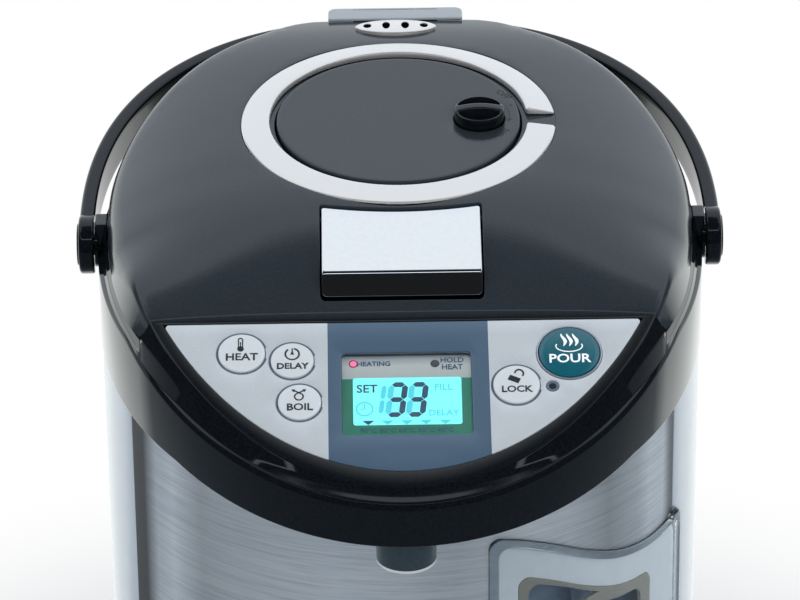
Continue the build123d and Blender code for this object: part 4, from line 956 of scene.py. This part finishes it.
def digit(piece, shown, x, y, wide, high, thick, level):
    """Seven-segment digit that leans to the right: each segment is a long hexagon."""
    for key in shown:
        x0, y0, x1, y1 = SEGMENTS[key]
        a, b = np.array([x0 * wide, y0 * high]), np.array([x1 * wide, y1 * high])
        u = (b - a) / np.hypot(*(b - a))
        v = np.array([-u[1], u[0]]) * thick / 2
        e = u * thick / 2
        a, b = a + u * 0.15, b - u * 0.15
        loop = np.array([a, a + e + v, b - e + v, b, b - e - v, a + e - v])
        loop[:, 0] += 0.12 * loop[:, 1]
        slab(piece, loop + (x, y), panel, level - 0.03, level)


def lettering(piece, words, size, put, at, low, high, turn=0.0, bold=0.0, wide=1.0):
    """Words set centred at a place of the frame, as thin solids; `bold` thickens their strokes."""
    type_data = bpy.data.curves.new("type", "FONT")
    type_data.body = words
    type_data.size = size
    type_data.align_x = "CENTER"
    type_data.align_y = "CENTER"
    type_data.extrude = (high - low) / 2
    type_data.resolution_u = 3
    type_data.offset = bold
    holder = bpy.data.objects.new("type", type_data)
    mesh = bpy.data.meshes.new_from_object(holder)
    work = bmesh.new()
    work.from_mesh(mesh)
    bmesh.ops.triangulate(work, faces=work.faces)
    work.to_mesh(mesh)
    work.free()
    points = np.empty(len(mesh.vertices) * 3, np.float32)
    mesh.vertices.foreach_get("co", points)
    corners = np.empty(len(mesh.loops), np.int32)
    mesh.loops.foreach_get("vertex_index", corners)
    x, y, z = (points.reshape(-1, 3) * (wide, 1.0, 1.0)).T
    c, s = math.cos(math.radians(turn)), math.sin(math.radians(turn))
    flat = np.stack([at[0] + x * c - y * s, at[1] + x * s + y * c, z + (high + low) / 2], 1)
    piece.add(put(flat), corners.reshape(-1, 3))
    bpy.data.objects.remove(holder)
    bpy.data.curves.remove(type_data)
    bpy.data.meshes.remove(mesh)
    return piece


digits, idle, scale_print = Piece(), Piece(), Piece()
lit_z, idle_z = -1.58, -1.60
for x in (-5.7, 1.3):
    digit(digits, "abgcd", x, -40.4, 4.65, 12.5, 1.95, lit_z)
    digit(idle, "fe", x, -40.4, 4.65, 12.5, 1.95, idle_z)
digit(idle, "bc", -12.3, -40.0, 4.2, 12.0, 1.6, idle_z)
stroke(idle, circle(2.75, -13.5, -37.9, 32), 0.45, panel, idle_z - 0.04, idle_z, loop=True)
stroke(idle, [(-13.5, -35.8), (-13.5, -37.9), (-14.9, -37.9)], 0.4, panel, idle_z - 0.04, idle_z)
for i, (x, words) in enumerate(zip((-12.3, -5.8, 0.7, 7.2, 13.7), ("90", "80", "65", "50", "40"))):
    mark = np.array([(-2.0, 0.0), (2.0, 0.0), (0.0, -1.7)]) + (x, -42.8)
    slab(digits if i == 0 else idle, mark, panel, -1.62, -1.58)
    lettering(scale_print, words + "\u00b0C", 2.6, panel, (x, -46.9), -1.69, -1.62, bold=0.03, wide=1.05)
for words, size, at, bold in (("SET", 4.6, (-12.6, -29.6), 0.05), ("HEATING", 2.7, (-10.2, -19.1), 0.06),
                              ("HOLD", 2.9, (16.4, -17.9), 0.06), ("HEAT", 2.9, (16.4, -20.8), 0.06)):
    lettering(digits, words, size, panel, at, lit_z - 0.04, lit_z, bold=bold)
for words, size, at in (("FILL", 3.7, (13.3, -29.2)), ("DELAY", 3.4, (13.2, -39.9))):
    lettering(idle, words, size, panel, at, idle_z - 0.04, idle_z, bold=0.03)
digits.build("display_digits", "pot", "lcd_cell", ink)
idle.build("display_idle_segments", "pot", "lcd_cell", ghost_ink)
scale_print.build("display_scale_print", "pot", "lcd_cell", ink)

# ---- Lamps --------------------------------------------------------------------------------------
# Three small lamps: two stand under the display's lens, the lit one and an idle one, and the third
# in its own hole beside the unlock button.
dark_lens = surface("idle_lamp", (0.012, 0.02, 0.035), 0.12, tint=0.1, grain=600)
lit_ring = surface("lit_lamp_rim", (0.22, 0.008, 0.03), 0.3, tint=0.1, grain=600)
lit_core = surface("lit_lamp_core", (0.95, 0.16, 0.36), 0.3, tint=0.03, grain=600,
                   Emission_Color=(1.0, 0.12, 0.34, 1), Emission_Strength=0.35)
lamp_rim = surface("lamp_rim", (0.10, 0.14, 0.20), 0.35, tint=0.05, grain=600)
dress(dark_lens, "indicator_lamps")
for name, radius, x, y, low, high, material in (
        ("lit_lamp_rim", 1.6, -17.1, -18.9, -1.69, -1.64, lit_ring),
        ("lit_lamp_core", 1.1, -17.1, -18.9, -1.63, -1.58, lit_core),
        ("idle_lamp_face", 1.55, 10.6, -19.2, -1.69, -1.62, dark_lens)):
    slab(Piece(), circle(radius, x, y, 32), panel, low, high).build(name, "pot", "lamp_red", material)
lamp_well = soft_corners([(1.3, -0.9), (2.2, -0.9), (2.2, 0.1), (1.3, -0.2)], [0, 0, 0.3, 0.15])
lamp_seat = leaning(panel([*lamp_spot, 0.0]), panel_lean)
Piece().turned(lamp_well, lamp_seat, 40).build("panel_lamp_rim", "pot", "lamp_red", lamp_rim)
slab(Piece(), circle(1.35, steps=28), lamp_seat, -0.85, -0.5).build(
    "panel_lamp_face", "pot", "lamp_red", dark_lens)

# ---- Buttons ------------------------------------------------------------------------------------
# Four pale caps and the large teal one for dispensing. Each cap is a shallow dome with a rounded
# edge on a short stem, and lies in a thin dark ring, open on the right, of painted shade in the gap
# round it.
pale = surface("pale_button_plastic", (0.60, 0.65, 0.69), 0.24, tint=0.02, spread=0.03, grain=900,
               Coat_Weight=0.2)
teal = surface("teal_button_plastic", (0.0015, 0.10, 0.14), 0.16, tint=0.05, spread=0.03, grain=900,
               Coat_Weight=0.5, Coat_Roughness=0.05)
bezel_silver = surface("bezel_silver", (0.42, 0.45, 0.55), 0.2, tint=0.03, grain=900, Metallic=0.7)
# Dark ring round each pale cap: painted shade in the gap round the cap, left open on the right where that gap
# is lit.
gap_shade_ink = surface("gap_shade_ring", (0.07, 0.11, 0.17), 0.45, tint=0.05, grain=700)
gap_shade_ring = Piece()
stem_r, stem_low = 2.5, -3.5
for name, (x, s, r) in buttons.items():
    large = name == "dispense_button"
    seat_frame = leaning(panel([x, s, 0.0]), panel_lean)
    cap = [(0.0, 1.05), (0.3 * r, 1.03), (0.6 * r, 0.96), (0.85 * r, 0.82), (r - 0.1, 0.62), (r, 0.0),
           (r, -2.3), (stem_r, -2.3), (stem_r, stem_low), (0.0, stem_low)]
    profile = soft_corners(cap, [0, 6, 6, 3, 0.7, 0.3, 0.2, 0.2, 0.1, 0], closed=False)[1:-1]
    walls = lathe(np.maximum(profile, (0.0, -9.0)), seat_frame, 72)
    slot, finish = ("teal_button", teal) if large else ("pale_button", pale)
    Piece().grid(walls, wrap=True).fan(walls[0]).fan(walls[-1]).build(name + "_cap", name, slot, finish, name)
    if large:
        bezel = Piece().turned(soft_box(r + 0.2, -1.0, r + 0.8, 0.35, [0, 0, 0.28, 0.28]), seat_frame)
        bezel.build("dispense_bezel", "pot", "silver_panel", bezel_silver)
    else:
        stroke(gap_shade_ring, arc(r + 0.5, 16, 346, steps=60), 0.52, seat_frame, 0.0, 0.04)
gap_shade_ring.build("button_rings", "pot", "silver_panel", gap_shade_ink)

# ---- Legends ------------------------------------------------------------------------------------
# Printed pictures and plain words on the buttons: a thermometer, a clock, a boil arrow, a padlock
# and a steaming cup.
legend_ink = surface("legend_print", (0.008, 0.012, 0.018), 0.5, tint=0.08, grain=900)
# The white print on the teal cap glows faintly: painted light that brightens it.
pale_ink_glowing = surface("pale_legend_print_glowing", (0.86, 0.92, 0.94), 0.5, tint=0.03, grain=900,
                   Emission_Color=(0.9, 0.95, 1.0, 1), Emission_Strength=0.12)


def thermometer(piece, on_cap):
    """A glass tube with its bulb, and the thread of liquid in it."""
    for path in ([(-1.05, 5.2), (-1.05, 1.9)], [(0.35, 5.2), (0.35, 1.9)], arc(0.7, 0, 180, -0.35, 5.2, 10)):
        stroke(piece, path, 0.4, **on_cap)
    slab(piece, circle(1.15, -0.35, 1.35, 20), **on_cap)
    stroke(piece, [(-0.35, 4.3), (-0.35, 1.9)], 0.4, **on_cap)


def clock(piece, on_cap):
    """An open dial with a pointed hand and a mark at twelve."""
    stroke(piece, arc(2.35, 125, 435, 0, 2.3, 30), 0.6, **on_cap)
    stroke(piece, [(0, 4.7), (0, 3.0)], 0.45, **on_cap)
    slab(piece, [(-0.7, 2.0), (0.7, 2.0), (0.0, 3.9)], **on_cap)


def boil_arrow(piece, on_cap):
    """A loop whose two arrows point up and outwards."""
    stroke(piece, arc(1.45, 50, -230, -0.2, 1.9, 26), 0.55, **on_cap)
    for side in (-1, 1):
        stroke(piece, [(-0.2 - side * 0.9, 3.0), (-0.2 + side * 1.7, 4.45)], 0.5, **on_cap)
        tip = [(-0.2 + side * 2.5, 4.9), (-0.2 + side * 1.25, 4.9), (-0.2 + side * 1.9, 3.75)]
        slab(piece, tip[::side], **on_cap)


def padlock(piece, on_cap):
    """A leaning body with its shackle swung open."""
    body = np.array([(-2.0, -1.1), (2.0, -1.1), (2.0, 1.1), (-2.0, 1.1)])
    slab(piece, body @ [[0.90, -0.43], [0.43, 0.90]] + (-0.75, 1.8), **on_cap)
    stroke(piece, arc(1.45, 175, -40, 0.95, 4.1, 18, 1.15), 0.55, **on_cap)


def steaming_cup(piece, on_cap):
    """The rim of a cup under three wisps, each swelling as sin(pi t) along a cosine wave."""
    for x in (-1.9, 0.1, 2.1):
        t = np.linspace(0, 1, 14)
        middle = np.stack([x - 0.75 * np.cos(t * 1.5 * np.pi) * (1 - 0.2 * t), 7.4 - 5.2 * t], 1)
        half_width = np.column_stack([(0.25 + 1.0 * np.sin(np.pi * t)) / 2, 0 * t])
        ribbon = np.concatenate([middle + half_width, (middle - half_width)[::-1]])
        rows = [on_cap["put"](np.column_stack([ribbon, np.full(28, on_cap[level])]))
                for level in ("low", "high")]
        piece.grid(np.stack(rows), wrap=True)
        for row in rows:
            piece.add(row, [[i, i + 1, 26 - i, 27 - i] for i in range(13)])
    stroke(piece, arc(4.5, 158, 382, 0, 2.2, 34, 0.52), 0.42, **on_cap)


cap_face = 1.0
for name, words, size, drop, picture in (("temp_button", "HEAT", 4.1, -2.1, thermometer),
                                         ("timer_button", "DELAY", 3.3, -2.8, clock),
                                         ("reboil_button", "BOIL", 3.9, -2.5, boil_arrow),
                                         ("unlock_button", "LOCK", 3.6, -2.4, padlock),
                                         ("dispense_button", "POUR", 5.0, -3.1, steaming_cup)):
    x, s, r = buttons[name]
    put = leaning(panel([x, s, 0.0]), panel_lean)
    legend = Piece()
    picture(legend, {"put": put, "low": cap_face - 0.12, "high": cap_face + 0.05})
    lettering(legend, words, size, put, (0, drop), cap_face - 0.35, cap_face + 0.05, bold=0.09, wide=1.08)
    slot, finish = ("teal_button", pale_ink_glowing) if name == "dispense_button" else ("pale_button", legend_ink)
    legend.build(name + "_legend", name, slot, finish)

# ---- Lid ----------------------------------------------------------------------------------------
# A domed gloss black shell with a soft rolled edge. It has a round well for the pump and a
# rectangular hole for the release lever, and its front wall leans back over the beak.
crown = np.array([(-90, 33), (-80, 41.6), (-68, 51), (-55, 58.5), (-40, 64.4), (-12, 68.6), (15, 70.8),
                  (45, 72.3), (70, 72.6), (85, 71.6), (101.5, 68.8), (112, 66.4)])
rates = np.diff(crown[:, 1]) / np.diff(crown[:, 0])
crown_slopes = np.concatenate([rates[:1], (rates[1:] + rates[:-1]) / 2, rates[-1:]])


def lid_h(x, y):
    """Lid's height: cubic crown along y, less (30 (1 - t) + 5 t) |x / 112|^3.5, t a smooth step."""
    t = smooth((-35 - y) / 45)
    return hermite(crown, crown_slopes, y) - (30 * (1 - t) + 5 * t) * np.abs(x / 112) ** 3.5


def lid_skin(points, depth):
    """Lid's top lowered by the depth; the front wall leans back as it goes down."""
    x, y = points.T
    nose = np.clip((-76.0 - y) / 3.0, 0, 1)
    skirt = lid_h(x, y) - skirt_h(y) - 0.4
    t = np.clip((depth - 0.8) / np.maximum(skirt - 0.8, 1), 0, 1)
    flare = (0.4 + 2.6 * np.clip((-25 - y) / 50, 0, 1)) * t * t * (depth > 2.6) * (np.abs(x) > 60)
    return np.stack([x + np.sign(x) * flare, y + nose * depth * math.tan(math.radians(15)),
                     collar_z + lid_h(x, y) - depth], 1)


def bowed_rear(half, radius, steps=25):
    """Arc from x = half to -half that bows to the front: x = r cos a, y = 121.9 - r sin a."""
    turns = np.linspace(math.acos(half / radius), math.pi - math.acos(half / radius), steps)
    return np.stack([radius * np.cos(turns), 121.9 - radius * np.sin(turns)], 1)


lid_r, lid_front, lid_t, lid_rear = 103.4, 149.6, 2.5, 98.6
cut = math.asin(80.0 / lid_front)
lid_plan = np.concatenate([np.stack([lid_r * np.cos(u), reach * np.sin(u)], 1) for u, reach in (
    (np.linspace(0, math.pi, 90), lid_r),
    (np.linspace(math.pi, math.pi + cut, 30)[1:], lid_front),
    (np.linspace(-cut, 0, 30)[:-1], lid_front))])
lid_plan[:, 1] = np.minimum(lid_plan[:, 1], lid_rear)
lid_outline = evened(lid_plan, 2.5)
x, y = lid_outline.T
front_wall = (y < -79.9) & (np.abs(x) < lid_r * math.cos(cut) - 1.5)
lid_feet = lid_h(x, y) - np.where(front_wall, 28.4, skirt_h(y) + 0.4)
lid_edge = 0.7 + 4.3 * np.clip((y + 80) / 30, 0, 1) * np.clip((98 - y) / 8, 0.2, 1)
lid_edge += 1.5 * np.clip((-66 - y) / 12, 0, 1)
lever_hole = np.concatenate([[(-28.1, -75.2), (28.1, -75.2)], bowed_rear(28.1, 164.2)])
lever_hole = evened(soft_corners(lever_hole, [1.8, 1.8, 3.4] + [0] * 23 + [3.4]), 1.8)[::-1]
lid_piece = plate(Piece(), [lid_outline, circle(56.1, 0, 15, 120)[::-1], lever_hole], lid_skin, lid_t,
                  edge=[lid_edge, 0.25, 0.35], spacing=3.6, feet=lid_feet, wall=lid_t)
well = soft_corners([(56.3, -2.9), (44.0, -2.9), (44.0, -26.4), (45.6, -26.4), (45.6, -4.5), (56.3, -4.5)],
                    [0, 0.3, 0.2, 0.2, 0.3, 0])
lid_piece.turned(well, ring_frame, 120)
slate_black = surface("slate_black_lacquer", (0.021, 0.028, 0.036), 0.15, tint=0.12, spread=0.03,
                      bump=0.000002, grain=1300, IOR=1.5)
lid_piece.build("lid_skin", "lid", "gloss_black", slate_black, "lid_shell")

# ---- Trim ring ----------------------------------------------------------------------------------
# A satin silver ring round the pump, its face falling outwards, with one gap on the right.
trim_in, trim_out, trim_t, trim_fall, half_gap = 45.7, 55.9, 2.4, 1.9, 4.2


def cone_skin(points, depth):
    """Ring's face: a cone that falls over its width; nothing lies lower than its flat foot."""
    r = np.hypot(*points.T)
    face = -trim_fall * (r - trim_in) / (trim_out - trim_in) - depth
    return ring_frame(np.column_stack([points, np.maximum(face, -trim_t)]))


outer_gap, inner_gap = math.asin(half_gap / trim_out), math.asin(half_gap / trim_in)
outer = np.linspace(outer_gap, 2 * math.pi - outer_gap, 150)
inner = np.linspace(2 * math.pi - inner_gap, inner_gap, 120)
ring_loop = np.concatenate([np.stack([trim_out * np.cos(outer), trim_out * np.sin(outer)], 1),
                            np.stack([trim_in * np.cos(inner), trim_in * np.sin(inner)], 1)])
ring_radii = np.zeros(len(ring_loop))
ring_radii[[0, len(outer) - 1, len(outer), -1]] = 2.2
ring_loop = soft_corners(ring_loop, ring_radii)
ring_edge = np.where(np.hypot(*ring_loop.T) < 47.0, 1.5, 0.85)
satin = surface("satin_silver", (0.80, 0.785, 0.77), 0.24, tint=0.02, spread=0.04, bump=0.000002,
                grain=2200, Metallic=0.7)
plate(Piece(), [ring_loop], cone_skin, trim_t, edge=[ring_edge], spacing=3.4).build(
    "trim_ring", "lid", "satin_silver", satin, "lid_ring")

# ---- Press plate and lock knob ------------------------------------------------------------------
# The round plate works the air pump by hand. A small knob in it locks it: a finger blade stands
# across two scooped hollows.
slate = surface("slate_gloss_plastic", (0.022, 0.029, 0.036), 0.16, tint=0.1, spread=0.03, bump=0.000002,
                grain=1400, IOR=1.5)
knob_r, knob_x, knob_y = 8.9, 28.8, -0.8
plate_r, plate_face, plate_t = 43.4, -1.0, 3.0
plate_loops = [circle(plate_r, steps=120), circle(knob_r + 0.3, knob_x, knob_y, 64)[::-1]]
press = plate(Piece(), plate_loops, on_plane(ring_frame, plate_face), plate_t, edge=[0.9, 0.35], spacing=5.0,
              feet=np.full(120, 9.0), wall=2.0)
knob_frame = leaning(ring_frame([knob_x, knob_y, 0.0]), ring_lean)
press.turned([(4.1, -3.0), (9.15, -3.0), (9.15, -4.0), (4.1, -4.0)], knob_frame, 48)
press.build("press_plate_skin", "press_plate", "gloss_black", slate, "pump_plate")
rim_h, scoop_depth, blade_rise = 3.2, 4.6, 1.35


def knob_skin(points, depth):
    """Knob's face: a flat rim, two scoops inside it and an arched blade between them."""
    x, y = points.T
    in_rim = smooth((8.3 - np.hypot(x, y)) / 1.7)
    off_blade = smooth((np.abs(y) - 1.5) / 1.9)
    top = rim_h + blade_rise * (1 - (x / knob_r) ** 2) * (1 - off_blade) - scoop_depth * in_rim * off_blade
    return knob_frame(np.column_stack([points, np.where(depth < 1.3, top, rim_h) - depth]))


knob = plate(Piece(), [circle(knob_r, steps=72)], knob_skin, 6.1, edge=0.7, spacing=0.5)
knob.grid(lathe([(4.0, -2.85), (4.0, -6.4)], knob_frame, 40), wrap=True)
knob.build("lock_knob_skin", "lock_knob", "gloss_black", gloss_black, "lock_knob", sharp=50)
marks = Piece()
mark_high = -0.97
lettering(marks, "OFF", 3.7, ring_frame, (37.8, 15.9), -1.15, mark_high, turn=-54.0, bold=0.05)
lettering(marks, "ON", 3.7, ring_frame, (36.9, -10.9), -1.15, mark_high, turn=50.0, bold=0.05)
slab(marks, circle(0.5, 40.4, 8.3, 16), ring_frame, -1.1, mark_high)
stroke(marks, arc(39.6, 12, -1, steps=10), 0.3, ring_frame, -1.1, mark_high)
slab(marks, [(39.0, -3.4), (40.4, -1.2), (38.6, -1.0)], ring_frame, -1.1, mark_high)
engraved = surface("engraved_marks", (0.004, 0.006, 0.009), 0.5, tint=0.1, grain=700)
marks.build("lock_marks", "press_plate", "gloss_black", engraved)

# ---- Steam vent ---------------------------------------------------------------------------------
# An oval silver plate on the lid, slightly domed, with four holes over the steam duct. The duct's
# mouth under them is a black sheet without gloss: painted shade inside the holes.
# Black without any gloss: painted shade inside the vent's holes.
hole_shade_black = surface("hole_shade_black", (0.002, 0.002, 0.002), 0.8, tint=0.1, grain=500, Specular_IOR_Level=0.0)
vent_y, vent_a, vent_b = 86.0, 14.95, 7.75
vent_slope = math.degrees(math.atan((lid_h(0.0, vent_y + 5) - lid_h(0.0, vent_y - 3)) / 8))
vent_frame = leaning((0, vent_y, collar_z + lid_h(0.0, vent_y)), vent_slope)


def vent_skin(points, depth):
    """Domed face: 1.6 high in the middle, 1.1 at the rim."""
    x, y = points.T
    return vent_frame(np.column_stack([points, 1.6 - 0.5 * ((x / vent_a) ** 2 + (y / vent_b) ** 2) - depth]))


x, y = circle(1.0, steps=72).T
vent_loop = np.stack([vent_a * x, 7.7 * np.sign(y) * np.abs(y) ** 1.2], 1)
vent_holes = [(circle(1.0, steps=24) * (a, b) + (x, 0))[::-1]
              for x, a, b in ((-10.4, 1.5, 2.6), (-3.5, 1.45, 4.1), (3.5, 1.45, 4.1), (10.4, 1.5, 2.6))]
slab(Piece(), circle(1.0) * (12.6, 5.4), vent_frame, 0.05, 0.62).build(
    "vent_hole_shade", "lid", "black_plastic", hole_shade_black)
vent = plate(Piece(), [vent_loop] + vent_holes, vent_skin, 0.5, edge=[0.45] + 4 * [0.1], spacing=1.2,
             feet=np.full(72, 2.2), wall=0.9, bottom=0.1)
vent.build("vent_plate", "lid", "satin_silver", satin, "steam_vent")

# ---- Release lever ------------------------------------------------------------------------------
# A bent chrome plate: a flat top that slopes towards the spout and a lip that turns down over a
# rounded bend. Two lugs under it hang on a steel pin.
bend = 2.0
bend_y, bend_h = -70.6, 54.0
top_way, lip_way = math.radians(19), math.radians(26)
turn_all = math.pi / 2 - top_way - lip_way
bend_half = bend * math.tan(turn_all / 2)


def lever_skin(points, depth):
    """Sheet bent along x: straight up the slope for t > 0, an arc at t = 0, straight down the lip."""
    x, t = points.T
    share = np.clip((bend_half - t) / (2 * bend_half), 0, 1)
    lean = top_way + share * turn_all
    middle_y = bend_y + bend_half * math.cos(top_way) + bend * math.sin(top_way)
    middle_h = bend_h + bend_half * math.sin(top_way) - bend * math.cos(top_way)
    up, down = np.maximum(t - bend_half, 0), np.maximum(-bend_half - t, 0)
    y = middle_y - np.sin(lean) * (bend - depth) + up * math.cos(top_way) - down * math.sin(lip_way)
    h = middle_h + np.cos(lean) * (bend - depth) + up * math.sin(top_way) - down * math.cos(lip_way)
    return np.stack([x, y, collar_z + h], 1)


lever_half, lip_end = 27.5, -8.6
rear_arc = bowed_rear(lever_half, 165.6)
rear_arc[:, 1] = (rear_arc[:, 1] - bend_y) / math.cos(top_way)
lever_loop = np.concatenate([[(-lever_half, lip_end), (lever_half, lip_end)], rear_arc])
lever_loop = evened(soft_corners(lever_loop, [1.7, 1.7, 3.0] + [0] * 23 + [3.0]), 1.2)
chrome = surface("chrome", (0.84, 0.86, 0.88), 0.045, metallic=1.0, tint=0.02, spread=0.02, grain=500)
bend_guides = [np.array([(-26.5, t), (26.5, t), (26.5, t + 0.05), (-26.5, t + 0.05)])
               for t in np.linspace(-bend_half, bend_half, 7)]
lever = plate(Piece(), [lever_loop], lever_skin, 2.0, edge=0.5, spacing=2.6, guides=bend_guides)
lug = soft_corners([(-46.2, 322.7), (-46.4, 320.4), (-45.2, 319.3), (-42.8, 319.3), (-41.6, 320.4),
                    (-41.8, 324.2)], [0, 0.8, 0.8, 0.8, 0.8, 0])
pin_hole = circle(1.26, -44.0, 321.76, 20)[::-1]
for x0 in (-21.5, 18.5):
    plate(lever, [evened(lug, 1.0), pin_hole], across_x(x0), 3.0, edge=0.2, spacing=1.0)
lever.build("release_lever_skin", "release_lever", "chrome_plate", chrome, "release_lever")

# ---- Lid hinge ----------------------------------------------------------------------------------
# A pale grey bracket on the lid's rear edge turns on a steel pin between the two ears of a block
# in the collar.
grey = surface("pale_grey_plastic", (0.38, 0.42, 0.46), 0.30, tint=0.03, spread=0.04, bump=0.000004,
               grain=1200)
bracket_loop = evened(soft_box(-24.8, 96.0, 24.8, 104.9, [0.8, 0.8, 3.0, 3.0]), 1.5)
slot_loop = evened(soft_box(-15.6, 103.1, 15.6, 103.7, 0.25, steps=3)[::-1], 1.5)
bracket_top, bracket_t = 333.2, 1.1
bracket = plate(Piece(), [bracket_loop, slot_loop], on_plane(upright(), bracket_top), bracket_t,
                edge=[0.5, 0.15], spacing=2.0)
pin_y, pin_z, knuckle_half = 102.5, 328.0, 15.7
knuckle = np.concatenate([[(98.95, 332.05)], arc(3.5, -180, 47, pin_y, pin_z, 30), [(104.8, 332.05)]])
plate(bracket, [evened(knuckle, 1.0), circle(1.56, pin_y, pin_z, 24)[::-1]], across_x(-knuckle_half),
      2 * knuckle_half, edge=0.3, spacing=1.5)
bracket.build("hinge_bracket_skin", "lid", "grey_hinge", grey, "hinge_bracket")
dress(grey, "hinge_housing")

# ---- Carrying handle ----------------------------------------------------------------------------
# A gloss black bail follows the collar round the rear. Its band has rounded edges and ends in two
# discs that turn on the pivots, each closed by a flat cap.
handle_frame = leaning((0, 0, 291.0), 12.5)
bail_in, bail_rear, bail_t, half_band, power = 108.8, 115.5, 5.5, 7, 2.4
turns = np.linspace(0, math.pi, 161)
c, s = np.cos(turns), np.maximum(np.sin(turns), 0)
wide, deep = np.sign(c) * np.abs(c) ** (2 / power), s ** (2 / power)
band_section = soft_box(0, -half_band, bail_t, half_band, [1.2, 1.9, 1.9, 1.2])
reach, height = closed(evened(band_section, 2.0)).T[:, :, None]
bow = handle_frame(np.stack([(bail_in + reach) * wide, (bail_rear + reach) * deep, height + 0 * wide], -1))
handle = Piece().grid(bow).fan(bow[:-1, 0]).fan(bow[:-1, -1])
disc = soft_box(4.1, 0, 10.5, 5.5, [0.2, 0.8, 1.3, 0.3])
cap_disc = soft_box(0.01, 5.4, 7.5, 6.2, [0, 0.1, 0.45, 0])
caps = Piece()


def outwards(side):
    """Frame whose axis points out of the pot at a pivot."""
    def put(local):
        x, y, z = np.moveaxis(np.asarray(local, float), -1, 0)
        return handle_frame(np.stack([side * (bail_in + z), x, y], -1))
    return put


for side in (-1, 1):
    handle.turned(disc, outwards(side), 72)
    caps.turned(cap_disc, outwards(side), 56)
handle.build("handle_bail", "handle", "gloss_black", gloss_black, ("handle", "handle_grip"))
caps.build("handle_cap_discs", "handle", "gloss_black", slate, "handle_caps")
